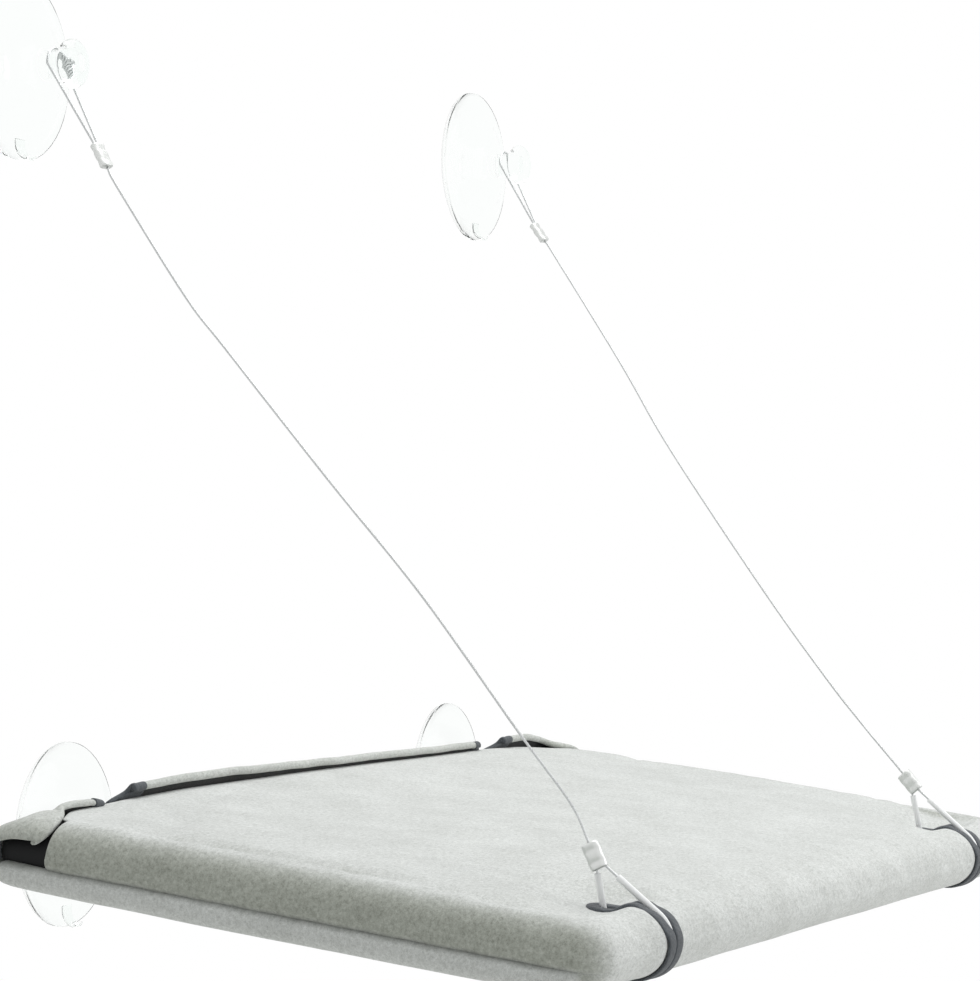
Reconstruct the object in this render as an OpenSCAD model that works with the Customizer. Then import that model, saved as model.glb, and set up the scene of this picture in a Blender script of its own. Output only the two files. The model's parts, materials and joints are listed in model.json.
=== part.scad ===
/* [Perch] */
// Width over the fleece cover, side to side
perch_w = 590; // [520:1:640]
// Distance between the axes of the back tube and the front tube
tube_reach = 269; // [250:1:290]
// Slope of the perch as it hangs, front edge low
perch_slope = 7.3; // [0:0.1:10]
// Gap between the lower cups' domes and the cover round the back tube
cup_gap = 1; // [0.5:0.5:6]

/* [Frame] */
// Outer diameter of the frame tubes
tube_d = 25; // [24.8:0.1:27]
// Wall of the frame tubes
tube_wall = 1; // [0.8:0.05:1.05]
// Length of a corner piece's arm, from its corner to the end of the tube
corner_arm = 20; // [16:1:30]
// Length of a corner piece's spigot inside a tube
spigot_len = 30; // [20:1:36]
// Wall of the corner pieces' hollow spigots
spigot_wall = 2.5; // [1.5:0.1:4]
// Gap all round a spigot in its tube
spigot_play = 0.05; // [0.02:0.01:0.1]
// Gap between the back tube's ends and the corners that turn on it
shoulder_gap = 0.3; // [0.2:0.05:0.5]

/* [Pad] */
// Rise of the padded top over the level of the tubes
top_crown = 2.4; // [1:0.1:5]
// Sag of the padded underside under the level of the tubes
under_crown = 1; // [0.5:0.1:2]
// Gap between the pad and what lies round it
pad_gap = 0.3; // [0.2:0.05:0.6]

/* [Cover] */
// Thickness of the fleece
fleece_t = 1.6; // [1.3:0.1:1.8]
// Slack of the fleece round the tubes
fleece_slack = 0.3; // [0.25:0.05:0.4]
// Height of the side seam over the cover's lower edge
seam_rise = 10.4; // [8:0.2:12]
// Radius of the roll along the cover's top side edge
top_roll = 12; // [8:0.5:14]
// Radius by which the top panel turns in towards the seam
seam_roll = 3; // [2:0.1:4]
// Length of side that stays open at the back corners
side_opening = 16; // [12:1:24]
// Overlap of the top panel over the back tube's axis
panel_overlap = 1.5; // [1:0.5:2]

/* [Front slits] */
// Distance of each front slit from the perch's side
slit_inset = 77; // [50:1:90]
// Open width of a slit between its bindings
slit_w = 4; // [3.6:0.1:6]
// Reach of a slit behind the foremost point of the cover
slit_reach = 40; // [38:1:48]
// Width of the binding tape along each edge
tape_w = 3.4; // [2.5:0.1:5]
// Height of the binding tape over the fleece
tape_t = 0.6; // [0.4:0.05:0.8]

/* [Back flap] */
// Width of the gap in the flap at each lower cup
gap_w = 16; // [15.5:0.5:20]
// Thickness of the flap's rolled hem
hem_d = 5.4; // [4:0.1:6]
// Height of the hem's axis over the back tube's axis
hem_rise = 21.5; // [20:0.5:24]
// Distance of the hem's axis to the room side of the back tube's axis
hem_lean = 1.5; // [0:0.5:4]
// Thickness of the black fastening strips
strip_t = 0.9; // [0.6:0.1:1.1]
// Width of the strip on the top panel
strip_w = 12; // [8:1:13]

/* [Suction cups] */
// Diameter of a suction cup
cup_d = 86; // [70:1:95]
// Height of a cup's dome over the glass
dome_h = 14; // [11:0.5:14]
// Thickness of a cup's lip
lip_t = 1.4; // [1:0.1:2]
// Width of the flat ring that seals on the glass
seal_w = 7; // [4:0.5:10]
// Depth of the shallow hollow inside the seal
hollow_h = 2; // [1:0.1:2.5]
// Diameter of a cup's neck
neck_d = 13.5; // [12:0.1:14.5]
// Diameter of a cup's mushroom head
head_d = 22.4; // [20:0.1:22.6]
// Thickness of a cup's mushroom head
head_t = 7; // [5:0.1:8]
// Distance of each lower cup from the perch's side
lower_cup_inset = 90.5; // [80:0.5:110]
// Distance of each upper cup from the perch's side
upper_cup_inset = 51; // [35:1:65]
// Height of the upper cups over the lower ones
upper_cup_z = 354; // [330:1:380]
// Play of a lower cup's neck in its hole in the back tube
neck_play = 0.4; // [0.3:0.1:0.8]
// Width of a cup's pull tab
tab_w = 9; // [6:0.5:12]
// Length of a cup's pull tab
tab_len = 9; // [6:0.5:12]
// Thickness of a cup's pull tab
tab_t = 1.2; // [0.8:0.1:1.6]

/* [Cables] */
// Diameter of the steel wire rope
wire_d = 1.2; // [1:0.1:1.6]
// Outer diameter of the clear sleeve on a lower eye
sleeve_d = 3; // [2.6:0.1:3.4]
// Length of a ferrule
ferrule_len = 12; // [10:0.5:14]
// Width of a ferrule
ferrule_w = 8; // [6.5:0.1:9]
// Thickness of a ferrule
ferrule_t = 4.4; // [3.6:0.1:5]
// Bare wire between a lower ferrule and its sleeve
bare_wire = 8; // [5:0.5:10]
// Distance of an upper eye from the cup's head
eye_gap = 5.5; // [3.5:0.5:8.5]

/* [Hidden] */
$fn = 64;
overrun = 1;
face_gap = 0.3;
tube_r = tube_d / 2;
bore_r = tube_r - tube_wall;
spigot_r = bore_r - spigot_play;
wrap_r = tube_r + fleece_slack;
edge_r = wrap_r + fleece_t;
side_x = perch_w / 2 - edge_r;
stand_off = dome_h + cup_gap + edge_r + tape_t;
slit_x = perch_w / 2 - slit_inset;
lower_cup_x = perch_w / 2 - lower_cup_inset;
upper_cup_x = perch_w / 2 - upper_cup_inset;
seam_t = seam_rise - edge_r - under_crown;
crown_steps = 20;
crown_fullness = 3;
round_steps = 24;
inner_roll = tube_r - spigot_wall / 2;

neck_r = neck_d / 2;
cup_r = cup_d / 2;
dome_steps = 14;
head_round = head_t / 2;
eye_depth = stand_off - head_round - eye_gap;
head_steps = 10;
tab_lift = 50;
tab_inset = seal_w + tab_t;

slit_tip = tube_reach + edge_r - slit_reach;
slit_span = slit_w + 2 * tape_w;

flap_start = -52;
gap_start = -44;
flap_end = 62;
mid_wrap_r = wrap_r + fleece_t / 2;
web_from = mid_wrap_r * [-cos(flap_end), sin(flap_end)];
hem_at = [hem_lean, hem_rise];
web_len = norm(hem_at - web_from);
web_turn = atan2(hem_at[1] - web_from[1], hem_at[0] - web_from[0]);
gap_edge = lower_cup_x - gap_w / 2;
gap_far_edge = lower_cup_x + gap_w / 2;

wire_r = wire_d / 2;
sleeve_r = sleeve_d / 2;
wire_play = 0.1;
leg_offset = wire_r + wire_play;
upper_eye_r = neck_r + wire_r + wire_play;
lower_eye_r = tube_r + sleeve_r + face_gap;
ferrule_waist = 0.35;
front_y = -stand_off - tube_reach * cos(perch_slope);
front_z = -tube_reach * sin(perch_slope);

left_top = [-18, -48];
left_foot = [23.6, 40.4];
left_bows = [
    [0, 0, 0], [0.031, 1.4, 0], [0.187, 5.5, 0.18], [0.269, 4.4, 0.27], [0.476, 0.4, 0.45],
    [0.652, -3.6, 0.64], [0.85, -3.6, 0.82], [0.95, -3.3, 1], [1, 0, 1]
];
right_top = [-16, -45];
right_foot = [26.8, 43.2];
right_bows = [
    [0, 0, 0], [0.032, 0.4, 0], [0.234, 2.9, 0.27], [0.395, 6.9, 0.45], [0.658, 8.1, 0.64],
    [0.825, 6, 0.82], [0.91, 3.5, 0.91], [0.968, 1, 1], [1, 0, 1]
];
route_steps = 4;
rope_sides = 8;
eye_steps = 20;

// Points of a cable between its ferrules: each bow is a share of the straight way, a distance off it and
// a share of the way along X; the top is measured from the upper cup's head, the foot from the front tube
function route(side, top, foot, bows) = let (
    a = [side * upper_cup_x, top[0] - stand_off, upper_cup_z + top[1]],
    b = [side * slit_x, front_y + foot[0], front_z + foot[1]],
    way = b - a,
    off = [0, -way[2], way[1]] / norm([way[1], way[2]])
) [for (p = bows) [a[0] + way[0] * p[2], a[1] + way[1] * p[0] + off[1] * p[1], a[2] + way[2] * p[0] + off[2] * p[1]]];

left_route = route(-1, left_top, left_foot, left_bows);
right_route = route(1, right_top, right_foot, right_bows);

// Places children in the perch's own frame: depth runs along -Y from the back tube's axis
module on_perch() {
    translate([0, -stand_off, 0])
        rotate([perch_slope, 0, 0])
            children();
}

// Extrudes a profile of [depth, height] along X, between two places
module along_x(from, to) {
    translate([to, 0, 0])
        rotate([90, 0, -90])
            linear_extrude(to - from)
                children();
}

// Extrudes a profile of [x, height] along the perch's depth
module along_depth(len) {
    rotate([90, 0, 0])
        linear_extrude(len)
            children();
}

// Straight round bar between two points
module rod(a, b, r) {
    d = b - a;
    translate(a)
        rotate([0, acos(d[2] / norm(d)), atan2(d[1], d[0])])
            cylinder(h = norm(d), r = r);
}

// Tube along +X from the origin
module pipe(len) {
    rotate([0, 90, 0])
        difference() {
            cylinder(h = len, r = tube_r);
            translate([0, 0, -overrun])
                cylinder(h = len + 2 * overrun, r = bore_r);
        }
}

// Arm of a corner piece along +X: the shoulder as wide as the tube, then the hollow spigot
module corner_arm_and_spigot(arm_len, from) {
    rotate([0, 90, 0])
        difference() {
            union() {
                cylinder(h = arm_len, r = tube_r);
                cylinder(h = from + spigot_len, r = spigot_r);
            }
            translate([0, 0, arm_len])
                cylinder(h = from + spigot_len, r = spigot_r - spigot_wall);
        }
}

// Corner piece with its corner at the origin, arms along +X and along one side of Y
module corner_piece(x_arm, y_side) {
    color("dimgray") {
        sphere(tube_r);
        corner_arm_and_spigot(x_arm, corner_arm);
        rotate([0, 0, 90 * y_side])
            corner_arm_and_spigot(corner_arm, corner_arm);
    }
}

module back_corner(side) {
    on_perch()
        translate([side * side_x, 0, 0])
            rotate([0, 0, side > 0 ? 180 : 0])
                corner_piece(corner_arm, side);
}

module front_corner(side) {
    on_perch()
        translate([side * side_x, -tube_reach, 0])
            rotate([0, 0, side > 0 ? 180 : 0])
                corner_piece(corner_arm, -side);
}

// Round tube under the back edge, with a hole in its window side for each lower cup's neck
module back_tube() {
    half_len = side_x - corner_arm - shoulder_gap;
    color("silver")
        translate([0, -stand_off, 0])
            difference() {
                translate([-half_len, 0, 0])
                    pipe(2 * half_len);
                for (side = [-1, 1])
                    translate([side * lower_cup_x, 0, 0])
                        rotate([-90, 0, 0])
                            cylinder(h = tube_r + overrun, r = neck_r + neck_play);
            }
}

module front_tube() {
    half_len = side_x - corner_arm;
    color("silver")
        on_perch()
            translate([-half_len, -tube_reach, 0])
                pipe(2 * half_len);
}

module side_tube(side) {
    color("silver")
        on_perch()
            translate([side * side_x, -corner_arm, 0])
                rotate([0, 0, -90])
                    pipe(tube_reach - 2 * corner_arm);
}

// Share of the crown at a place along its span
function crown_share(u) = 1 - pow(abs(2 * u - 1), crown_fullness);

// Points of [depth, height] along the padded top, drawn in by an inset
function top_line(from, to, inset) = [for (i = [0 : crown_steps]) let (u = i / crown_steps)
    [from + (to - from) * u, edge_r - inset + top_crown * crown_share(u)]];

// Points along the padded underside, from its front to its back
function under_line(from, to, inset) = [for (i = [crown_steps : -1 : 0]) let (u = i / crown_steps)
    [from + (to - from) * u, inset - edge_r - under_crown * crown_share(u)]];

// Points of a half round about a tube's axis, from its top to its bottom or back up again
function half_round(depth, r, first) = [for (i = [1 : round_steps - 1]) let (a = first - 180 * i / round_steps)
    [depth + r * cos(a), r * sin(a)]];

module pad() {
    from = tube_r + pad_gap;
    to = slit_tip - pad_gap;
    color("white")
        on_perch()
            along_x(-side_x + from, side_x - from)
                polygon(concat(
                    top_line(from, to, fleece_t + pad_gap),
                    under_line(from, to, fleece_t + pad_gap)
                ));
}

// Outer section of the cover: padded body, round front and the flat overlap on the back tube
module cover_section() {
    polygon(concat(
        [[-panel_overlap, 0], [-panel_overlap, edge_r]],
        top_line(0, tube_reach, 0),
        half_round(tube_reach, edge_r, 90),
        under_line(0, tube_reach, 0),
        [[0, 0]]
    ));
}

// Rectangle of [x, height] with round corners
module rounded_block(half_w, low, high, low_r, high_r) {
    for (side = [-1, 1]) {
        translate([side * (half_w - low_r), low + low_r])
            circle(low_r);
        translate([side * (half_w - high_r), high - high_r])
            circle(high_r);
    }
    translate([-half_w + low_r, low])
        square([2 * (half_w - low_r), high - low]);
    translate([-half_w + high_r, low])
        square([2 * (half_w - high_r), high - low]);
    translate([-half_w, low + low_r])
        square([2 * half_w, high - high_r - low - low_r]);
}

// Side section of the cover: the top panel's roll over the smaller roll of the bottom panel
module side_section() {
    rounded_block(perch_w / 2, seam_t, edge_r + top_crown, seam_roll, top_roll);
    for (side = [-1, 1])
        translate([side * (perch_w - seam_rise) / 2, seam_t - seam_rise / 2])
            circle(seam_rise / 2);
    translate([(seam_rise - perch_w) / 2, seam_t - seam_rise])
        square([perch_w - seam_rise, seam_rise]);
}

module cover_outer() {
    intersection() {
        along_x(-perch_w / 2 - overrun, perch_w / 2 + overrun)
            cover_section();
        translate([0, 2 * edge_r, 0])
            along_depth(tube_reach + 4 * edge_r)
                side_section();
    }
}

// Space inside the cover, for the tubes with their slack and the pad between them
module cover_space() {
    intersection() {
        along_x(-perch_w / 2, perch_w / 2)
            polygon(concat(
                top_line(0, tube_reach, fleece_t),
                half_round(tube_reach, wrap_r, 90),
                under_line(0, tube_reach, fleece_t),
                half_round(0, wrap_r, -90)
            ));
        translate([0, 2 * edge_r, 0])
            along_depth(tube_reach + 4 * edge_r)
                rounded_block(side_x + wrap_r, -wrap_r - under_crown, wrap_r + top_crown, inner_roll, inner_roll);
    }
}

// Space of one front slit: right through the cover, as wide as the slit with its bindings
module slit_space(side) {
    translate([side * slit_x - slit_span / 2, -tube_reach - edge_r - overrun, -2 * edge_r])
        cube([slit_span, tube_reach + edge_r + overrun - slit_tip, 4 * edge_r]);
}

module cover_top() {
    open_x = side_x + fleece_slack;
    color("gainsboro")
        on_perch()
            difference() {
                intersection() {
                    cover_outer();
                    translate([-perch_w / 2, -tube_reach - edge_r, seam_t])
                        cube([perch_w, tube_reach + edge_r + panel_overlap, 2 * edge_r]);
                }
                cover_space();
                slit_space(-1);
                slit_space(1);
                for (side = [-1, 1])
                    translate([side * (open_x + edge_r) - edge_r, -side_opening, seam_t - overrun])
                        cube([2 * edge_r, side_opening + edge_r, 3 * edge_r]);
            }
}

// Quarter ring of the wrap round the back tube, between two angles from the window side
module wrap_sector(from, to, grow) {
    far = 3 * edge_r;
    intersection() {
        difference() {
            circle(edge_r + grow);
            circle(wrap_r);
        }
        polygon([
            [0, 0],
            far * [-cos(from), sin(from)],
            far * [-cos((from + to) / 2), sin((from + to) / 2)],
            far * [-cos(to), sin(to)]
        ]);
    }
}

module cover_bottom() {
    color("silver")
        on_perch()
            union() {
                difference() {
                    intersection() {
                        cover_outer();
                        translate([-perch_w / 2, -tube_reach - edge_r, -2 * edge_r])
                            cube([perch_w, tube_reach + edge_r, 2 * edge_r + seam_t]);
                    }
                    cover_space();
                    slit_space(-1);
                    slit_space(1);
                }
                along_x(-perch_w / 2, perch_w / 2)
                    wrap_sector(-90, flap_start, 0);
                for (ends = [[-perch_w / 2, -gap_far_edge - tape_w], [-gap_edge + tape_w, gap_edge - tape_w],
                        [gap_far_edge + tape_w, perch_w / 2]])
                    along_x(ends[0], ends[1])
                        wrap_sector(flap_start, gap_start, 0);
            }
}

// Section of the standing flap: up the window side of the tube, then over to the rolled hem
module flap_section(from, grow) {
    wrap_sector(from, flap_end, grow);
    difference() {
        translate(web_from)
            rotate(web_turn)
                translate([0, -fleece_t / 2 - grow])
                    square([web_len, fleece_t + 2 * grow]);
        circle(wrap_r);
    }
    translate(hem_at)
        circle(hem_d / 2 + grow);
}

module back_flap(from, to) {
    color("lightgray")
        on_perch()
            along_x(from, to)
                flap_section(gap_start, 0);
}

// Black strip on the inner side of the standing flap
module flap_strip(from, to) {
    color("black")
        on_perch()
            along_x(from, to)
                translate(web_from)
                    rotate(web_turn)
                        translate([fleece_t, -fleece_t / 2 - strip_t])
                            square([web_len - fleece_t - hem_d / 2, strip_t]);
}

// Height of the top panel at a depth
function panel_level(depth) = lookup(depth, top_line(0, tube_reach, 0));

// Black strip along the back edge of the top panel
module panel_strip() {
    color("black")
        on_perch()
            along_x(-side_x, side_x)
                polygon([
                    [0, edge_r],
                    [strip_w, panel_level(strip_w)],
                    [strip_w, panel_level(strip_w) + strip_t],
                    [0, edge_r + strip_t]
                ]);
}

// Tape round the gap in the flap: down one side, under the cup's neck and up the other
module flap_binding(side) {
    middle = side * lower_cup_x;
    inner = gap_w / 2;
    color("darkslategray")
        on_perch() {
            for (edge = [-inner - tape_w, inner])
                along_x(middle + edge, middle + edge + tape_w)
                    flap_section(flap_start, tape_t);
            along_x(middle - inner, middle + inner)
                wrap_sector(flap_start, gap_start, tape_t);
        }
}

// Section of a front slit's tape, from one tip over the front round to the other
module slit_tape_section(outer_r, from) {
    intersection() {
        translate([tube_reach, 0])
            circle(outer_r);
        translate([from, -outer_r])
            square([slit_reach + 2 * outer_r, 2 * outer_r]);
    }
    translate([from, -outer_r])
        square([tube_reach - from, 2 * outer_r]);
}

module slit_binding(side) {
    middle = side * slit_x;
    color("darkslategray")
        on_perch()
            difference() {
                along_x(middle - slit_span / 2, middle + slit_span / 2)
                    difference() {
                        slit_tape_section(edge_r + tape_t, slit_tip);
                        slit_tape_section(wrap_r, slit_tip - overrun);
                    }
                along_x(middle - slit_w / 2, middle + slit_w / 2)
                    translate([slit_tip + tape_w, -2 * edge_r])
                        square([slit_reach, 4 * edge_r]);
            }
}

// Height of a cup's dome over the glass at a radius
function dome_at(r) = lip_t + (dome_h - lip_t) * (1 + cos(180 * (r - neck_r) / (cup_r - neck_r))) / 2;

// Half section of a cup: [radius, distance from the glass]
function cup_outline() = concat(
    [[0, hollow_h], [cup_r - seal_w, 0], [cup_r, 0]],
    [for (i = [0 : dome_steps]) let (r = cup_r - (cup_r - neck_r) * i / dome_steps) [r, dome_at(r)]],
    [[neck_r, stand_off - head_round]],
    [for (i = [0 : head_steps]) let (a = 180 * i / head_steps - 90)
        [head_d / 2 - head_round + head_round * cos(a), stand_off + head_round * sin(a)]],
    [[0, stand_off + head_round]]
);

// Tongue that curls off the glass, for peeling the cup away
module pull_tab() {
    translate([0, 0, -cup_r + tab_inset])
        rotate([-tab_lift, 0, 0]) {
            translate([-tab_w / 2, -tab_t, -tab_len])
                cube([tab_w, tab_t, tab_len]);
            translate([0, 0, -tab_len])
                rotate([90, 0, 0])
                    cylinder(h = tab_t, d = tab_w);
        }
}

module suction_cup(x, z) {
    color("whitesmoke")
        translate([x, 0, z]) {
            rotate([90, 0, 0])
                rotate_extrude()
                    polygon(cup_outline());
            pull_tab();
        }
}

// Unit direction from one end of a route into it
function route_dir(a, b) = (b - a) / norm(b - a);

// Middle of the ferrule that a route's end point touches
function ferrule_at(end, next) = end - route_dir(end, next) * ferrule_len / 2;

// Turn about X that brings Z onto a direction in the YZ plane
function lean_of(d) = -atan2(d[1], d[2]);

// Crimped ferrule round two strands, its middle at the origin and its length along Z
module ferrule(turn) {
    lobe_r = ferrule_t / 2;
    lobe_x = ferrule_w / 2 - lobe_r;
    color("silver")
        rotate([0, 0, turn])
            difference() {
                translate([0, 0, -ferrule_len / 2])
                    linear_extrude(ferrule_len) {
                        for (side = [-1, 1])
                            translate([side * lobe_x, 0])
                                circle(lobe_r);
                        square([2 * lobe_x, ferrule_t], center = true);
                    }
                for (side = [-1, 1], edge = [-1, 1])
                    translate([0, side * (lobe_r + wire_r), edge * ferrule_len / 4])
                        rotate([0, 90, 0])
                            cylinder(h = ferrule_w + overrun, r = ferrule_waist * ferrule_t, center = true);
            }
}

module upper_ferrule(route) {
    translate(ferrule_at(route[0], route[1]))
        rotate([lean_of(route_dir(route[1], route[0])), 0, 0])
            ferrule(0);
}

module lower_ferrule(route) {
    last = len(route) - 1;
    translate(ferrule_at(route[last], route[last - 1]))
        rotate([lean_of(route_dir(route[last], route[last - 1])), 0, 0])
            ferrule(90);
}

// Wire looped over a cup's neck, with both ends in the ferrule
module upper_eye(side, route) {
    neck = [side * upper_cup_x, -eye_depth, upper_cup_z];
    end = ferrule_at(route[0], route[1]);
    color("gray") {
        translate(neck)
            rotate([90, 0, 0])
                rotate_extrude(angle = 180)
                    translate([upper_eye_r, 0])
                        circle(wire_r);
        for (edge = [-1, 1]) {
            translate(neck + [edge * upper_eye_r, 0, 0])
                sphere(wire_r);
            rod(neck + [edge * upper_eye_r, 0, 0], end + [edge * leg_offset, 0, 0], wire_r);
        }
    }
}

// Path in one upright plane round the front tube, with a straight leg on each side towards the
// ferrule; the legs stop short of their meeting point by a gap
function eye_path(side, route, gap) = let (
    last = len(route) - 1,
    middle = [side * slit_x, front_y, front_z],
    apex = ferrule_at(route[last], route[last - 1]) - middle,
    reach = norm([apex[1], apex[2]]),
    half = asin(lower_eye_r / reach),
    lean = atan2(apex[1], apex[2]),
    leg = reach * cos(half) - gap,
    start = lower_eye_r * [-cos(half), sin(half)],
    finish = lower_eye_r * [cos(half), sin(half)],
    arc = [for (i = [0 : eye_steps]) let (a = 180 - half + (180 + 2 * half) * i / eye_steps)
        lower_eye_r * [cos(a), sin(a)]]
) [for (p = concat([start + leg * [sin(half), cos(half)]], arc, [finish + leg * [-sin(half), cos(half)]]))
    middle + [0, p[0] * cos(lean) + p[1] * sin(lean), p[1] * cos(lean) - p[0] * sin(lean)]];

module lower_eye(side, route) {
    color("gray")
        swept_bar(eye_path(side, route, ferrule_len / 4), wire_r);
}

// Clear sleeve over the lower eye, short of the ferrule by the bare wire
module eye_sleeve(side, route) {
    color("aliceblue")
        swept_sleeve(eye_path(side, route, ferrule_len / 2 + bare_wire), sleeve_r, wire_r + wire_play);
}

// Point of a smooth curve through four points
function curve_point(a, b, c, d, u) = (2 * b + (c - a) * u + (2 * a - 5 * b + 4 * c - d) * u * u
    + (3 * b - a - 3 * c + d) * u * u * u) / 2;

// Smooth curve through a route's points
function curve(route) = let (n = len(route) - 1) concat(
    [for (i = [0 : n - 1], k = [0 : route_steps - 1]) let (
        a = i > 0 ? route[i - 1] : 2 * route[0] - route[1],
        d = i < n - 1 ? route[i + 2] : 2 * route[n] - route[n - 1]
    ) curve_point(a, route[i], route[i + 1], d, k / route_steps)],
    [route[n]]
);

// Points of the rings along a path, each ring square to it
function path_rings(path, r) = let (n = len(path) - 1) [for (i = [0 : n]) let (
    t = route_dir(path[max(i - 1, 0)], path[min(i + 1, n)]),
    v = route_dir([0, 0, 0], cross(t, [1, 0, 0])),
    w = cross(v, t)
) for (k = [0 : rope_sides - 1]) let (a = 360 * k / rope_sides) path[i] + r * (cos(a) * v + sin(a) * w)];

// Faces between a number of rings; the order of each face is turned round for an inner wall
function ring_walls(n, first, inner) = [for (i = [0 : n - 1], k = [0 : rope_sides - 1]) let (
    a = first + i * rope_sides + k,
    b = first + i * rope_sides + (k + 1) % rope_sides,
    c = a + rope_sides,
    d = b + rope_sides
) each inner ? [[a, b, c], [b, d, c]] : [[a, c, b], [b, c, d]]];

// Round bar swept along a path
module swept_bar(path, r) {
    n = len(path) - 1;
    caps = [
        [for (k = [0 : rope_sides - 1]) k],
        [for (k = [rope_sides - 1 : -1 : 0]) n * rope_sides + k]
    ];
    polyhedron(points = path_rings(path, r), faces = concat(ring_walls(n, 0, false), caps));
}

// Open tube swept along a path
module swept_sleeve(path, outer_r, inner_r) {
    n = len(path) - 1;
    in = len(path) * rope_sides;
    end = n * rope_sides;
    rims = [for (k = [0 : rope_sides - 1]) let (j = (k + 1) % rope_sides)
        each [[k, j, in + k], [j, in + j, in + k],
            [end + k, in + end + k, end + j], [end + j, in + end + k, in + end + j]]];
    polyhedron(
        points = concat(path_rings(path, outer_r), path_rings(path, inner_r)),
        faces = concat(ring_walls(n, 0, false), ring_walls(n, in, true), rims)
    );
}

module cable(route) {
    color("gray")
        swept_bar(curve(route), wire_r);
}

back_tube();
front_tube();
side_tube(-1);  // left_tube
side_tube(1);  // right_tube
back_corner(-1);  // back_corner_left
back_corner(1);  // back_corner_right
front_corner(-1);  // front_corner_left
front_corner(1);  // front_corner_right
pad();
cover_top();
cover_bottom();
back_flap(-perch_w / 2, -gap_far_edge - tape_w);  // back_flap_left
back_flap(-gap_edge + tape_w, gap_edge - tape_w);  // back_flap_middle
back_flap(gap_far_edge + tape_w, perch_w / 2);  // back_flap_right
flap_strip(-perch_w / 2, -gap_far_edge - tape_w);  // flap_strip_left
flap_strip(-gap_edge + tape_w, gap_edge - tape_w);  // flap_strip_middle
flap_strip(gap_far_edge + tape_w, perch_w / 2);  // flap_strip_right
panel_strip();
flap_binding(-1);  // flap_binding_left
flap_binding(1);  // flap_binding_right
slit_binding(-1);  // slit_binding_left
slit_binding(1);  // slit_binding_right
suction_cup(-lower_cup_x, 0);  // lower_cup_left
suction_cup(lower_cup_x, 0);  // lower_cup_right
suction_cup(-upper_cup_x, upper_cup_z);  // upper_cup_left
suction_cup(upper_cup_x, upper_cup_z);  // upper_cup_right
upper_eye(-1, left_route);  // upper_eye_left
upper_eye(1, right_route);  // upper_eye_right
upper_ferrule(left_route);  // upper_ferrule_left
upper_ferrule(right_route);  // upper_ferrule_right
lower_eye(-1, left_route);  // lower_eye_left
lower_eye(1, right_route);  // lower_eye_right
lower_ferrule(left_route);  // lower_ferrule_left
lower_ferrule(right_route);  // lower_ferrule_right
eye_sleeve(-1, left_route);  // eye_sleeve_left
eye_sleeve(1, right_route);  // eye_sleeve_right
cable(left_route);  // cable_left
cable(right_route);  // cable_right
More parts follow.
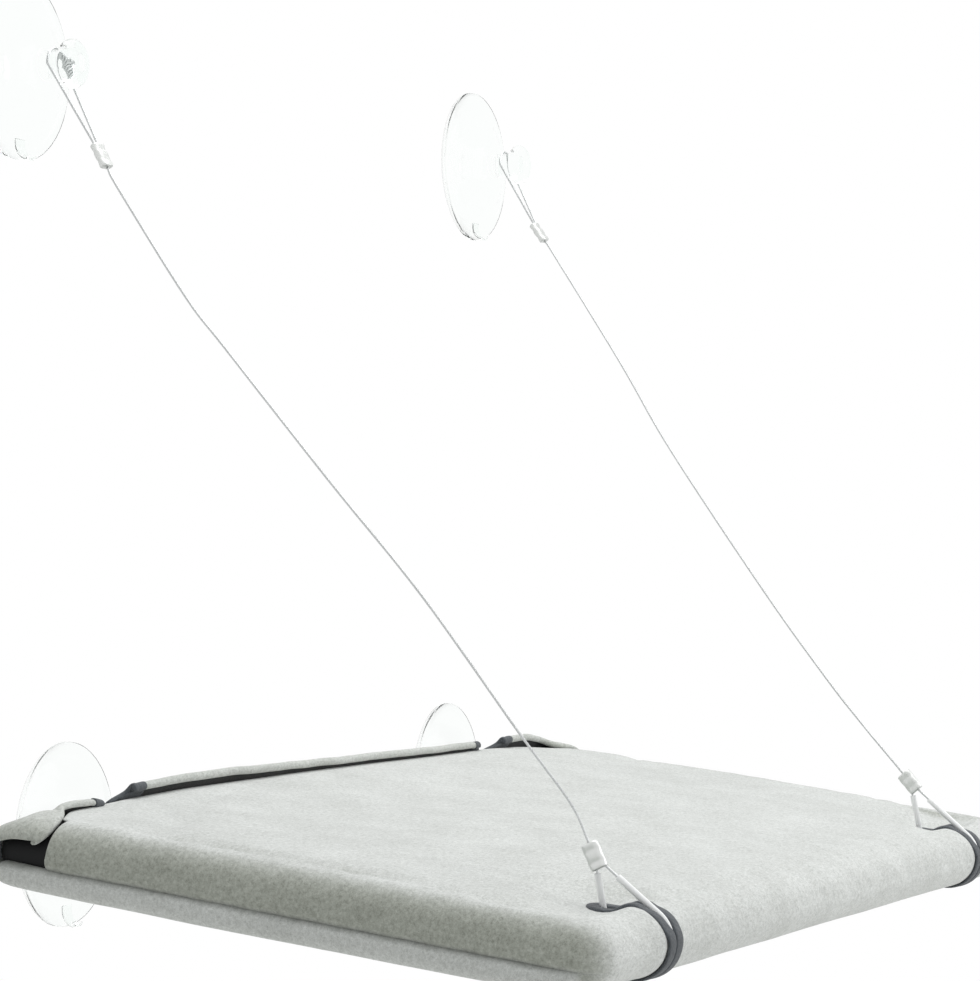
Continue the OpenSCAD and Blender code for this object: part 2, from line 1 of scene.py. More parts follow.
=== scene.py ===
import bpy
import bmesh
import json
import math
from mathutils import Matrix, Vector, noise
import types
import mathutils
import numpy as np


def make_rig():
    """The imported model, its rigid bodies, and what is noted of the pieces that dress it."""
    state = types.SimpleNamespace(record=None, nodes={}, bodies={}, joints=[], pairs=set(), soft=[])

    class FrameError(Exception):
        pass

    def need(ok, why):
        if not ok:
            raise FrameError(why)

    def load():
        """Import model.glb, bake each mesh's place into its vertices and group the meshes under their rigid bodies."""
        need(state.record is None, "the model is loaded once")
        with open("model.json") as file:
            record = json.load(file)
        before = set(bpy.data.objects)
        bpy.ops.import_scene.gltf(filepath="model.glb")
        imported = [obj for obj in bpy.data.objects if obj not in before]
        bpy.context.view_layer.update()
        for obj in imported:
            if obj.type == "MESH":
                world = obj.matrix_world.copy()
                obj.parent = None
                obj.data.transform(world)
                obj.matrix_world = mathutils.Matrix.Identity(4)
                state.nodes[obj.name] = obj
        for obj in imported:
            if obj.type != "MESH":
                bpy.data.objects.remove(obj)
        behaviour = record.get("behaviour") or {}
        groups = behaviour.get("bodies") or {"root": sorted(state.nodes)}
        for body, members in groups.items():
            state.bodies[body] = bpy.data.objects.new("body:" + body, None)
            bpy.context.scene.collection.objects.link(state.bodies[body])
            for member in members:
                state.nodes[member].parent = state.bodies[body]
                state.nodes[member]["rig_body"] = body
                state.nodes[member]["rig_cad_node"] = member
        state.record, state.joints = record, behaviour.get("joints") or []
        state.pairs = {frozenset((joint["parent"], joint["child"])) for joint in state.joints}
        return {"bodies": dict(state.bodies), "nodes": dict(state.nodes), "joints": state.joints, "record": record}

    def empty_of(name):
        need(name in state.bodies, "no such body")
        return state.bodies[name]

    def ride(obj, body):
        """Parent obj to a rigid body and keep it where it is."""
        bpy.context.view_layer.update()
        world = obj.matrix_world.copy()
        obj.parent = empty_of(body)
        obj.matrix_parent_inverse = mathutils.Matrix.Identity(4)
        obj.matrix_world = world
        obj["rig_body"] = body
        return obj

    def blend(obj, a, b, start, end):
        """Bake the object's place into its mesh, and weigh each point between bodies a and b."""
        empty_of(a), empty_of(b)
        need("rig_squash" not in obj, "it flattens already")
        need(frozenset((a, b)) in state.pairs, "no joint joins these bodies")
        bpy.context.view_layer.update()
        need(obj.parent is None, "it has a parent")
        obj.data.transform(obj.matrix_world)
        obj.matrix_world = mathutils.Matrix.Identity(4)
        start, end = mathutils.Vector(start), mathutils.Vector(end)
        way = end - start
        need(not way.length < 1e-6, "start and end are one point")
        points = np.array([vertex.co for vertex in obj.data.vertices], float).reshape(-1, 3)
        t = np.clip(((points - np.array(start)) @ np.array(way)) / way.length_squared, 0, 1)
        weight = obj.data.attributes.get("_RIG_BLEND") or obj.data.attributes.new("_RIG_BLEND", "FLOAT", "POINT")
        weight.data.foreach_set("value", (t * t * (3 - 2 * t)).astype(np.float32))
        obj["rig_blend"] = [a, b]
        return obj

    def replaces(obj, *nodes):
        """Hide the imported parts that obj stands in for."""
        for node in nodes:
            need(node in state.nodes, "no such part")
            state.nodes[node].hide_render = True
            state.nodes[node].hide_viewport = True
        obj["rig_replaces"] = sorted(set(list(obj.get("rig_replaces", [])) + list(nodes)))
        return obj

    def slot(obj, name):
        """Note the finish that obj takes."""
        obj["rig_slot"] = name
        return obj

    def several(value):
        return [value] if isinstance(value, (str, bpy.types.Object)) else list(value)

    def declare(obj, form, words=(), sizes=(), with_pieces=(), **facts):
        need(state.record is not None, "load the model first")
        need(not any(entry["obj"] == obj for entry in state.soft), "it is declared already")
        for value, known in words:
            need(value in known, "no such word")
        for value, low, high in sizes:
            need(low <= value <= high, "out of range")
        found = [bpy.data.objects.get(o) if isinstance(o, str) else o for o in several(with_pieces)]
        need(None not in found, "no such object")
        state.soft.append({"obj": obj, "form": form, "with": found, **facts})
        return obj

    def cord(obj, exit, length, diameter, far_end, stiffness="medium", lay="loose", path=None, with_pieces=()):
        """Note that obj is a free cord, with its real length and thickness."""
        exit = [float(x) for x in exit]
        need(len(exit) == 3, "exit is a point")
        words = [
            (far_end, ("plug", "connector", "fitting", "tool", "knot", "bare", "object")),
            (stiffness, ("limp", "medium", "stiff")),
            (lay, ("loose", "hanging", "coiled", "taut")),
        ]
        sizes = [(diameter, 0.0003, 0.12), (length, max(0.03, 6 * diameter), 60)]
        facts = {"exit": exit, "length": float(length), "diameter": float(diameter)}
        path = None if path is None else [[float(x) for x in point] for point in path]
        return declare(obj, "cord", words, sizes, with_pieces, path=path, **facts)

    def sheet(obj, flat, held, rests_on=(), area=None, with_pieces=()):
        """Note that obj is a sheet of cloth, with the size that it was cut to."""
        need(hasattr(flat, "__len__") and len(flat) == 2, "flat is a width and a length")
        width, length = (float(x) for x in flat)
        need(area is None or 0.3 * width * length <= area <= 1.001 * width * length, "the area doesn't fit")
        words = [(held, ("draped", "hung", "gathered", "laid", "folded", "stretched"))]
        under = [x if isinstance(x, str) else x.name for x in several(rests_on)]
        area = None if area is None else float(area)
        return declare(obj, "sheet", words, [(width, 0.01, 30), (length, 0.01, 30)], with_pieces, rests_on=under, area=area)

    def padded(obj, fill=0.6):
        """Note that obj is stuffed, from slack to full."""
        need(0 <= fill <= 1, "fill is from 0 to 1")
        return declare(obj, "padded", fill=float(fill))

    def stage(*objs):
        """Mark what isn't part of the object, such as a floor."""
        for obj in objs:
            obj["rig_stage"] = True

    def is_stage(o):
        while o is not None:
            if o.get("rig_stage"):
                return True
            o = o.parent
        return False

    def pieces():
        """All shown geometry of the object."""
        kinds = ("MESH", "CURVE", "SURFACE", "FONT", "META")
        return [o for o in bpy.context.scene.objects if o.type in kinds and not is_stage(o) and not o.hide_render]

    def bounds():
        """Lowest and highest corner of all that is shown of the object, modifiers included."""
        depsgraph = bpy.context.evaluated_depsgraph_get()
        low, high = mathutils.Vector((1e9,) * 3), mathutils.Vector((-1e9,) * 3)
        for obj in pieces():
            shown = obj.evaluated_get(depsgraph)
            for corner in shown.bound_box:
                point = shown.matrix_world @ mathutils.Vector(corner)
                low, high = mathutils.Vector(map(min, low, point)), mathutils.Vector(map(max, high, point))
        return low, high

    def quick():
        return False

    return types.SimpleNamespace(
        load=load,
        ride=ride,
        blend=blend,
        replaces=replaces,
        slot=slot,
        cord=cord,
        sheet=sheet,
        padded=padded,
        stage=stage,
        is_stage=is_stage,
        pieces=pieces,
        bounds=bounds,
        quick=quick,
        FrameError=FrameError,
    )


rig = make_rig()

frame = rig.load()
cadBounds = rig.bounds()
nodes = frame["nodes"]
mm = 0.001
print("frame loaded:", len(nodes), "nodes")

# sizes that several pieces share, in mm
perch = {"width": 590, "reach": 269, "slope": 7.3, "standOff": 30, "tubeR": 12.5, "edgeR": 14.4,
         "wrapR": 12.8, "fleece": 1.6, "topCrown": 2.4, "underCrown": 1.0, "slitX": 218, "slitReach": 40,
         "lowerCupX": 204.5, "upperCupX": 244, "upperCupZ": 354, "cupNeckR": 6.75}
slopeCos = math.cos(math.radians(perch["slope"]))
slopeSin = math.sin(math.radians(perch["slope"]))
half = perch["width"] / 2
slitTip = perch["reach"] + perch["edgeR"] - perch["slitReach"]


def mix(a, b, t):
    return a + (b - a) * t


def ease(t):
    t = min(max(t, 0), 1)
    return t * t * (3 - 2 * t)


def onPerch(x, depth, height):  # from the perch's own measures in mm to the room's in metres
    return Vector((x, -perch["standOff"] - depth * slopeCos - height * slopeSin,
                   height * slopeCos - depth * slopeSin)) * mm


def offPerch(spot):  # and back again
    y = spot.y / mm + perch["standOff"]
    z = spot.z / mm
    return spot.x / mm, -y * slopeCos - z * slopeSin, z * slopeCos - y * slopeSin


def alongTable(table, x):  # rows of a place and its values, with straight lines between them
    if x <= table[0][0]:
        return table[0][1:]
    for low, high in zip(table, table[1:]):
        if x <= high[0]:
            t = (x - low[0]) / (high[0] - low[0])
            return [mix(u, v, t) for u, v in zip(low[1:], high[1:])]
    return table[-1][1:]


def spread(stops, step):  # fills the way between stops with even steps
    out = [stops[0]]
    for a, b in zip(stops, stops[1:]):
        n = max(1, round(abs(b - a) / step))
        out += [a + (b - a) * k / n for k in range(1, n + 1)]
    return out


# mesh helpers

mergeDist = 1e-6
subdivided = ("SUBSURF", {"levels": 1, "render_levels": 1})


def clothWall(thick, offset=0):  # gives a cloth its thickness, then soft edges
    return [("SOLIDIFY", {"thickness": thick * mm, "offset": offset}), subdivided]


def finish(name, bm, material, body, standsFor, slot, modifiers=()):
    mesh = bpy.data.meshes.new(name)
    bm.to_mesh(mesh)
    bm.free()
    mesh.polygons.foreach_set("use_smooth", [True] * len(mesh.polygons))
    mesh.materials.append(material)
    piece = bpy.data.objects.new(name, mesh)
    bpy.context.scene.collection.objects.link(piece)
    for kind, settings in modifiers:
        modifier = piece.modifiers.new(kind.title(), kind)
        for key, value in settings.items():
            setattr(modifier, key, value)
    if body:
        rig.ride(piece, body)
    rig.replaces(piece, *standsFor)
    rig.slot(piece, slot)
    return piece


def gridPatch(bm, across, along, place, looped=False):  # a grid whose points place() sets
    new = bmesh.ops.create_grid(bm, x_segments=across, y_segments=along, size=1)["verts"]
    uv = bm.loops.layers.uv.verify()
    spot = {v: (round((v.co.x + 1) / 2 * across), round((v.co.y + 1) / 2 * along)) for v in new}
    for face in {f for v in new for f in v.link_faces}:
        for corner in face.loops:
            i, j = spot[corner.vert]
            corner[uv].uv = (i / across, j / along)
    for v in new:
        v.co = place(*spot[v])
    if looped:
        bmesh.ops.remove_doubles(bm, verts=new, dist=mergeDist)
    return new


def closeEnds(bm, new):
    edges = dict.fromkeys(e for v in new if v.is_valid for e in v.link_edges if e.is_boundary)
    bmesh.ops.holes_fill(bm, edges=list(edges))


def frames(path):  # each point with its smooth forward, side and up directions
    out = []
    side = None
    for i, p in enumerate(path):
        t = (path[min(i + 1, len(path) - 1)] - path[max(i - 1, 0)]).normalized()
        if side is None:
            side = t.cross(Vector((1, 0, 0)))
            if side.length < 0.1:
                side = t.cross(Vector((0, 0, 1)))
        side = (side - t * side.dot(t)).normalized()
        out.append((p, t, side, t.cross(side)))
    return out


def sweep(bm, path, section):  # section() gives the outline at a share of the path
    rings = frames(path)
    last = len(path) - 1
    shape = [section(i / last) for i in range(last + 1)]

    def place(i, j):
        p, _, side, up = rings[i]
        u, v = shape[i][j % len(shape[i])]
        return p + side * u + up * v
    closeEnds(bm, gridPatch(bm, last, len(shape[0]), place, looped=True))


def circle(r, sides):
    turns = [2 * math.pi * k / sides for k in range(sides)]
    return [(r * math.cos(a), r * math.sin(a)) for a in turns]


def resample(points, step):  # even steps along a line, and its length
    lengths = [0]
    for a, b in zip(points, points[1:]):
        lengths.append(lengths[-1] + (b - a).length)
    count = max(2, round(lengths[-1] / step))
    out, k = [], 0
    for i in range(count + 1):
        s = lengths[-1] * i / count
        while k < len(points) - 2 and lengths[k + 1] < s:
            k += 1
        out.append(points[k].lerp(points[k + 1], (s - lengths[k]) / (lengths[k + 1] - lengths[k])))
    return out, lengths[-1]


def smoothCurve(route, steps):  # a curve through all the route's points
    out = []
    n = len(route) - 1
    for i in range(n):
        b, c = route[i], route[i + 1]
        a = route[i - 1] if i else 2 * b - c
        d = route[i + 2] if i < n - 1 else 2 * c - b
        for k in range(steps):
            u = k / steps
            out.append((2 * b + (c - a) * u + (2 * a - 5 * b + 4 * c - d) * u ** 2
                        + (3 * b - a - 3 * c + d) * u ** 3) / 2)
    return out + [route[-1]]


# materials: pattern sizes are in mm

def hexColor(code):  # sRGB hex to linear
    parts = [int(code[i:i + 2], 16) / 255 for i in (1, 3, 5)]
    return [c / 12.92 if c <= 0.04045 else ((c + 0.055) / 1.055) ** 2.4 for c in parts] + [1]


def newMaterial(name, code="#FFFFFF", **sockets):
    material = bpy.data.materials.new(name)
    material.use_nodes = True
    shader = material.node_tree.nodes["Principled BSDF"]
    shader.inputs["Base Color"].default_value = hexColor(code)
    for key, value in sockets.items():
        shader.inputs[key.replace("_", " ")].default_value = value
    return material, material.node_tree, shader


# adds a node with its settings and links; a linked node gives its first output, and stops are a colour ramp's
def addNode(tree, kind, settings=None, inputs=None, links=None, stops=()):
    node = tree.nodes.new("ShaderNode" + kind)
    for key, value in (settings or {}).items():
        setattr(node, key, value)
    for key, value in (inputs or {}).items():
        node.inputs[key].default_value = value
    for key, source in (links or {}).items():
        tree.links.new(source.outputs[0] if isinstance(source, bpy.types.Node) else source, node.inputs[key])
    for k, (at, code) in enumerate(stops):
        stop = node.color_ramp.elements[k] if k < 2 else node.color_ramp.elements.new(at)
        stop.position = at
        stop.color = hexColor(code)
    return node


# real hairs are finer: they are drawn as coarse as they need to show
pile = {"clump": 1.923, "hair": 0.769, "cloud": 29.4}


def fleeceMaterial(name, tones, shadeTones):
    # brushed polyester microsuede: short matted pile mottles the colour; painted shade: a point attribute set by
    # the face's direction mixes in darker tones on faces turned to the side, and another darkens the seam's groove
    material, tree, shader = newMaterial(name, Roughness=0.95, Sheen_Weight=0.2, Sheen_Roughness=0.6,
                                         Specular_IOR_Level=0.15)
    place = addNode(tree, "TexCoord").outputs["Object"]
    stretched = addNode(tree, "Mapping", inputs={"Scale": (0.35, 1, 1)}, links={"Vector": place})
    clumps = addNode(tree, "TexNoise", inputs={"Scale": 1000 / pile["clump"], "Detail": 7, "Roughness": 0.74},
                     links={"Vector": place})
    cloud = addNode(tree, "TexNoise", inputs={"Scale": 1000 / pile["cloud"], "Detail": 4, "Roughness": 0.55},
                    links={"Vector": place})
    hairs = addNode(tree, "TexNoise", inputs={"Scale": 1000 / pile["hair"], "Detail": 3, "Distortion": 1.5},
                    links={"Vector": stretched})
    nap = addNode(tree, "Attribute", {"attribute_name": "nap"})
    crease = addNode(tree, "Attribute", {"attribute_name": "crease"})
    flat = addNode(tree, "ValToRGB", links={"Fac": clumps}, stops=zip((0.34, 0.5, 0.66), tones))
    # painted shade: this ramp gives the darker tones that faces turned to the side take
    deep = addNode(tree, "ValToRGB", links={"Fac": clumps}, stops=zip((0.28, 0.5, 0.72), shadeTones))
    flecks = addNode(tree, "ValToRGB", links={"Fac": hairs}, stops=[(0.36, "#A4A6A0"), (0.56, "#FFFFFF")])
    shade = addNode(tree, "ValToRGB", links={"Fac": cloud}, stops=[(0.3, "#EDEDEC"), (0.7, "#FFFFFF")])
    # painted shade: the seam's groove is darkened
    pressed = addNode(tree, "ValToRGB", links={"Fac": crease.outputs["Fac"]},
                      stops=[(0.1, "#FFFFFF"), (0.9, "#8A8C85")])
    tone = addNode(tree, "MixRGB", links={"Fac": nap.outputs["Fac"], "Color1": flat, "Color2": deep})
    for layer, share in ((flecks, 0.3), (shade, 0.8), (pressed, 0.85)):
        tone = addNode(tree, "MixRGB", {"blend_type": "MULTIPLY"}, {"Fac": share},
                       {"Color1": tone, "Color2": layer})
    relief = addNode(tree, "Math", {"operation": "ADD"}, links={0: clumps, 1: hairs})
    bump = addNode(tree, "Bump", inputs={"Strength": 0.45, "Distance": 0.0005}, links={"Height": relief})
    tree.links.new(tone.outputs[0], shader.inputs["Base Color"])
    tree.links.new(bump.outputs[0], shader.inputs["Normal"])
    return material


weave = {"rib": 0.5, "grain": 1.11, "turn": 0.6, "bands": 314}  # bands: a wave's spacing in mm at scale 1


def wovenMaterial(name, light, dark):
    # woven polyester tape: fine ribs both ways across a dull dark cloth
    material, tree, shader = newMaterial(name, Roughness=0.8, Sheen_Weight=0.15, Sheen_Roughness=0.5)
    place = addNode(tree, "TexCoord").outputs["Object"]
    turned = addNode(tree, "Mapping", inputs={"Rotation": (0, 0, weave["turn"])}, links={"Vector": place})
    ribs, cross = (addNode(tree, "TexWave", {"bands_direction": way}, {
        "Scale": weave["bands"] / weave["rib"], "Distortion": 0.4, "Detail": 1, "Detail Scale": 3},
        {"Vector": turned}).outputs["Fac"] for way in "XZ")
    grain = addNode(tree, "TexNoise", inputs={"Scale": 1000 / weave["grain"], "Detail": 4},
                    links={"Vector": place})
    threads = addNode(tree, "Math", {"operation": "MULTIPLY"}, links={0: ribs, 1: cross})
    both = addNode(tree, "Math", {"operation": "ADD"}, links={0: threads, 1: grain})
    tone = addNode(tree, "ValToRGB", links={"Fac": both}, stops=[(0.35, dark), (1.0, light)])
    bump = addNode(tree, "Bump", inputs={"Strength": 0.45, "Distance": 0.0003}, links={"Height": both})
    tree.links.new(tone.outputs[0], shader.inputs["Base Color"])
    tree.links.new(bump.outputs[0], shader.inputs["Normal"])
    return material


def fasteningMaterial(name, light, dark, loopSize=0.909, fluffSize=1.43):
    # black hook and loop tape: dense loops, drawn larger than real ones so that they show, and no shine
    material, tree, shader = newMaterial(name, Roughness=0.9, Sheen_Weight=0.1)
    place = addNode(tree, "TexCoord").outputs["Object"]
    loops = addNode(tree, "TexVoronoi", inputs={"Scale": 1000 / loopSize}, links={"Vector": place})
    fluff = addNode(tree, "TexNoise", inputs={"Scale": 1000 / fluffSize, "Detail": 4},
                    links={"Vector": place})
    tone = addNode(tree, "ValToRGB", links={"Fac": fluff}, stops=[(0.35, dark), (0.75, light)])
    bump = addNode(tree, "Bump", inputs={"Strength": 0.6, "Distance": 0.0004}, links={"Height": loops})
    tree.links.new(tone.outputs[0], shader.inputs["Base Color"])
    tree.links.new(bump.outputs[0], shader.inputs["Normal"])
    return material


def metalMaterial(name, code, rough, wearSize):
    # drawn or pressed metal: handling leaves soft duller and brighter patches
    material, tree, shader = newMaterial(name, code, Metallic=1.0)
    place = addNode(tree, "TexCoord").outputs["Object"]
    wear = addNode(tree, "TexNoise", inputs={"Scale": 1000 / wearSize, "Detail": 5, "Roughness": 0.6},
                   links={"Vector": place})
    level = addNode(tree, "MapRange", inputs={"From Min": 0.3, "From Max": 0.7, "To Min": rough * 0.75,
                                              "To Max": rough * 1.3}, links={"Value": wear})
    bump = addNode(tree, "Bump", inputs={"Strength": 0.12, "Distance": 0.0001}, links={"Height": wear})
    tree.links.new(level.outputs[0], shader.inputs["Roughness"])
    tree.links.new(bump.outputs[0], shader.inputs["Normal"])
    return material


def skinMaterial(name, code, grainSize, detail, strength, depth, **sockets):
    # a plastic skin that is even in colour, with the faint relief that its mould or flow left
    material, tree, shader = newMaterial(name, code, **sockets)
    place = addNode(tree, "TexCoord").outputs["Object"]
    grain = addNode(tree, "TexNoise", inputs={"Scale": 1000 / grainSize, "Detail": detail},
                    links={"Vector": place})
    bump = addNode(tree, "Bump", inputs={"Strength": strength, "Distance": depth}, links={"Height": grain})
    tree.links.new(bump.outputs[0], shader.inputs["Normal"])
    return material


waddingTones = ("#DEDDD4", "#ECEBE4", "#F4F3EE")
# the second set of tones is painted shade, for faces turned to the side
microsuede = fleeceMaterial("brushedMicrosuede", ("#C3C5C2", "#D4D6D3", "#E1E3E1"),
                            ("#8A8D83", "#AAADA3", "#C2C5BC"))
foam = fleeceMaterial("polyesterWadding", waddingTones, waddingTones)
bindingTape = wovenMaterial("wovenBindingTape", "#565B60", "#2A2D30")
fastening = fasteningMaterial("hookAndLoopBlack", "#2C2F2C", "#0E100E")
steelRope = metalMaterial("stainlessWireRope", "#CBCDCD", 0.3, 0.667)
aluminium = metalMaterial("pressedAluminium", "#D6D8D6", 0.42, 1.667)
tubeSteel = metalMaterial("drawnSteelTube", "#A9ABAC", 0.3, 3.333)
# clear soft PVC is glossy and lets all light through; the sleeve's is milky and satin
clearPvc = skinMaterial("clearSoftPvc", "#FCFEFD", 11.1, 3, 0.05, 0.0006,
                        Roughness=0.05, Transmission_Weight=1.0, IOR=1.12)
sleevePvc = skinMaterial("milkySleevePvc", "#FBFCFB", 11.1, 3, 0.05, 0.0006,
                         Roughness=0.3, Transmission_Weight=0.12, IOR=1.3)
# injection moulded ABS: dull, with spark-eroded grain drawn coarser than the real one so that it shows
cornerPlastic = skinMaterial("mouldedAbsCorner", "#0F1011", 0.4545, 2, 0.2, 0.0001,
                             Roughness=0.7, Specular_IOR_Level=0.25)
print("materials ready")

# the photo's camera: its focal length and image width are in pixels
photoView = {"place": (-1.6126, -0.8787, 0.1387), "yaw": 25.06, "pitch": 0.737, "roll": -0.156,
             "focal": 3523.0, "imageWidth": 980, "filmWidth": 36, "near": 0.05}
cameraData = bpy.data.cameras.new("photoCamera")
cameraData.sensor_fit = "HORIZONTAL"
cameraData.sensor_width = photoView["filmWidth"]
cameraData.lens = photoView["filmWidth"] * photoView["focal"] / photoView["imageWidth"]
cameraData.clip_start = photoView["near"]
camera = bpy.data.objects.new("photoCamera", cameraData)
bpy.context.scene.collection.objects.link(camera)
bpy.context.scene.camera = camera
yaw, pitch, roll = (math.radians(photoView[k]) for k in ("yaw", "pitch", "roll"))
ahead = Vector((math.cos(pitch) * math.cos(yaw), math.cos(pitch) * math.sin(yaw), math.sin(pitch)))
right = ahead.cross(Vector((0, 0, 1))).normalized()
up = right.cross(ahead)
axes = (right * math.cos(roll) + up * math.sin(roll), up * math.cos(roll) - right * math.sin(roll), -ahead)
camera.matrix_world = Matrix([[axis[i] for axis in axes] + [photoView["place"][i]] for i in range(3)]
                             + [[0, 0, 0, 1]])

# cables: wire rope, each between its two ferrules
cable = {"diameter": 1.2, "strands": 6, "lay": 8.0, "step": 0.9, "strandSides": 6, "strandSwell": 1.02,
         "curveSteps": 8}
# bows: share of the way down, bow in mm, share of the way sideways
routes = {
    "left": {"side": -1, "top": (-48, -48), "foot": (23.6, 40.4), "bows": [
        (0, 0, 0), (0.031, 1.4, 0), (0.187, 5.5, 0.18), (0.269, 4.4, 0.27), (0.476, 0.4, 0.45),
        (0.652, -3.6, 0.64), (0.85, -3.6, 0.82), (0.95, -3.3, 1), (1, 0, 1)]},
    "right": {"side": 1, "top": (-46, -45), "foot": (26.8, 43.2), "bows": [
        (0, 0, 0), (0.032, 0.4, 0), (0.234, 2.9, 0.27), (0.395, 6.9, 0.45), (0.658, 8.1, 0.64),
        (0.825, 6, 0.82), (0.91, 3.5, 0.91), (0.968, 1, 1), (1, 0, 1)]},
}
frontAxis = onPerch(0, perch["reach"], 0) / mm


def routePoints(route):
    side = route["side"]
    a = Vector((side * perch["upperCupX"], route["top"][0], perch["upperCupZ"] + route["top"][1]))
    b = Vector((side * perch["slitX"], frontAxis.y + route["foot"][0], frontAxis.z + route["foot"][1]))
    way = b - a
    off = Vector((0, -way.z, way.y)).normalized()
    return [Vector((a.x + way.x * across, a.y + way.y * down + off.y * bow,
                    a.z + way.z * down + off.z * bow)) * mm for down, bow, across in route["bows"]]


def ropeInto(bm, path):  # six strands laid round a seventh, as on the real rope
    points, length = resample(path, cable["step"] * mm)
    strandR = cable["diameter"] / 6 * mm
    ring = circle(strandR * cable["strandSwell"], cable["strandSides"])
    rings = frames(points)
    turnStep = length / (len(points) - 1) / (cable["lay"] * mm)
    for s in range(cable["strands"]):
        line = []
        for i, (p, _, side, up) in enumerate(rings):
            turn = 2 * math.pi * (s / cable["strands"] + i * turnStep)
            line.append(p + (side * math.cos(turn) + up * math.sin(turn)) * strandR * 2)
        sweep(bm, line, lambda u: ring)
    sweep(bm, points, lambda u: ring)
    return length


lines = {}
for name, route in routes.items():
    line = smoothCurve(routePoints(route), cable["curveSteps"])
    bm = bmesh.new()
    length = ropeInto(bm, line)
    piece = finish("wireRope_" + name, bm, steelRope, None, ["cable_" + name], "wire_rope")
    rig.cord(piece, exit=line[0], length=round(length, 4), diameter=cable["diameter"] * mm, far_end="object",
            stiffness="stiff", lay="taut", path=line[::2])
    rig.blend(piece, "window_mount", "perch", start=line[0], end=line[-1])
    lines[name] = line
    print("cable", name, round(length, 4))

# ferrules: a flattened double barrel, pressed in two places
ferrule = {"length": 12, "width": 8, "thick": 4.4, "rings": 24, "sides": 28, "press": 0.21,
           "pressAt": 0.45, "pressWide": 0.2, "swell": 0.05, "groove": 0.16, "grooveWide": 1.1,
           "rimFrom": 0.9, "rimDrop": 0.13, "edge": 0.3, "edgeAngle": 0.9}


def ferruleMiddle(end, after):
    return end - (after - end).normalized() * ferrule["length"] / 2 * mm


def makeFerrule(name, middle, along, wideDir, node, body):
    across = (wideDir - along * wideDir.dot(along)).normalized()
    deep = along.cross(across)
    lobe = ferrule["thick"] / 2
    shoulder = ferrule["width"] / 2 - lobe

    def place(i, j):
        u = i / ferrule["rings"] * 2 - 1
        a = 2 * math.pi * (j % ferrule["sides"]) / ferrule["sides"]
        pressed = sum(math.exp(-((u - side * ferrule["pressAt"]) / ferrule["pressWide"]) ** 2)
                      for side in (-1, 1))
        rim = 1 - ferrule["rimDrop"] * max(0, (abs(u) - ferrule["rimFrom"]) / (1 - ferrule["rimFrom"])) ** 2
        x = math.cos(a) * lobe + math.copysign(shoulder, math.cos(a)) * min(1, abs(math.cos(a)) * 3)
        y = math.sin(a) * lobe * (1 - ferrule["press"] * pressed)
        y *= 1 - ferrule["groove"] * math.exp(-(x / ferrule["grooveWide"]) ** 2)
        x *= 1 + ferrule["swell"] * pressed
        return middle + (along * u * ferrule["length"] / 2 + across * x * rim + deep * y * rim) * mm
    bm = bmesh.new()
    closeEnds(bm, gridPatch(bm, ferrule["rings"], ferrule["sides"], place, looped=True))
    bmesh.ops.recalc_face_normals(bm, faces=bm.faces)
    sharp = [e for e in bm.edges if e.is_manifold and e.calc_face_angle(0) > ferrule["edgeAngle"]]
    bmesh.ops.bevel(bm, geom=sharp, offset=ferrule["edge"] * mm, affect="EDGES", segments=2, profile=0.5,
                    material=-1)
    finish(name, bm, aluminium, body, [node], "ferrule")


# eyes: the rope's ends, looped round the upper cup's neck and round the front tube
eye = {"depth": 21, "neckSlack": 0.1, "legGap": 0.7, "lowerR": 14.3, "inset": 3, "legSteps": 8,
       "bendSteps": 40, "neckSteps": 24}


def lowerEyePath(name, windowGap, roomGap):  # each leg stops that far from the ferrule's middle
    centre = Vector((routes[name]["side"] * perch["slitX"], frontAxis.y, frontAxis.z)) * mm
    apex = (ferruleMiddle(lines[name][-1], lines[name][-2]) - centre) / mm
    reach = math.hypot(apex.y, apex.z)
    lean = math.atan2(apex.y, apex.z)
    radius, steps = eye["lowerR"], eye["legSteps"]
    narrow = math.asin(radius / reach)
    leg = reach * math.cos(narrow)

    def onLeg(side, along):
        return (side * (radius * math.cos(narrow) - along * math.sin(narrow)),
                radius * math.sin(narrow) + along * math.cos(narrow))
    flat = [onLeg(-1, (leg - roomGap) * (1 - k / steps)) for k in range(steps + 1)]
    for k in range(1, eye["bendSteps"]):
        a = math.pi - narrow + (math.pi + 2 * narrow) * k / eye["bendSteps"]
        flat.append((radius * math.cos(a), radius * math.sin(a)))
    flat += [onLeg(1, (leg - windowGap) * k / steps) for k in range(steps + 1)]
    c, s = math.cos(lean), math.sin(lean)
    return [centre + Vector((0, u * c + v * s, v * c - u * s)) * mm for u, v in flat]


def upperEyePath(name):
    neck = Vector((routes[name]["side"] * perch["upperCupX"], -eye["depth"], perch["upperCupZ"])) * mm
    end = ferruleMiddle(lines[name][0], lines[name][1])
    radius = (perch["cupNeckR"] + cable["diameter"] / 2 + eye["neckSlack"]) * mm
    (a, b), (d, c) = ((end + Vector((side * eye["legGap"] * mm, 0, 0)), neck + Vector((side * radius, 0, 0)))
                      for side in (-1, 1))
    turns = [math.pi - math.pi * k / eye["neckSteps"] for k in range(eye["neckSteps"] + 1)]
    return ([a.lerp(b, k / eye["legSteps"]) for k in range(eye["legSteps"])]
            + [neck + Vector((radius * math.cos(turn), 0, radius * math.sin(turn))) for turn in turns]
            + [c.lerp(d, k / eye["legSteps"]) for k in range(1, eye["legSteps"] + 1)])


for name in routes:
    for kind, path, body in (("upper", upperEyePath(name), "window_mount"),
                             ("lower", lowerEyePath(name, eye["inset"], eye["inset"]), "perch")):
        bm = bmesh.new()
        ropeInto(bm, path)
        finish(f"wireEye_{kind}_{name}", bm, steelRope, body, [f"{kind}_eye_{name}"], "wire_rope")

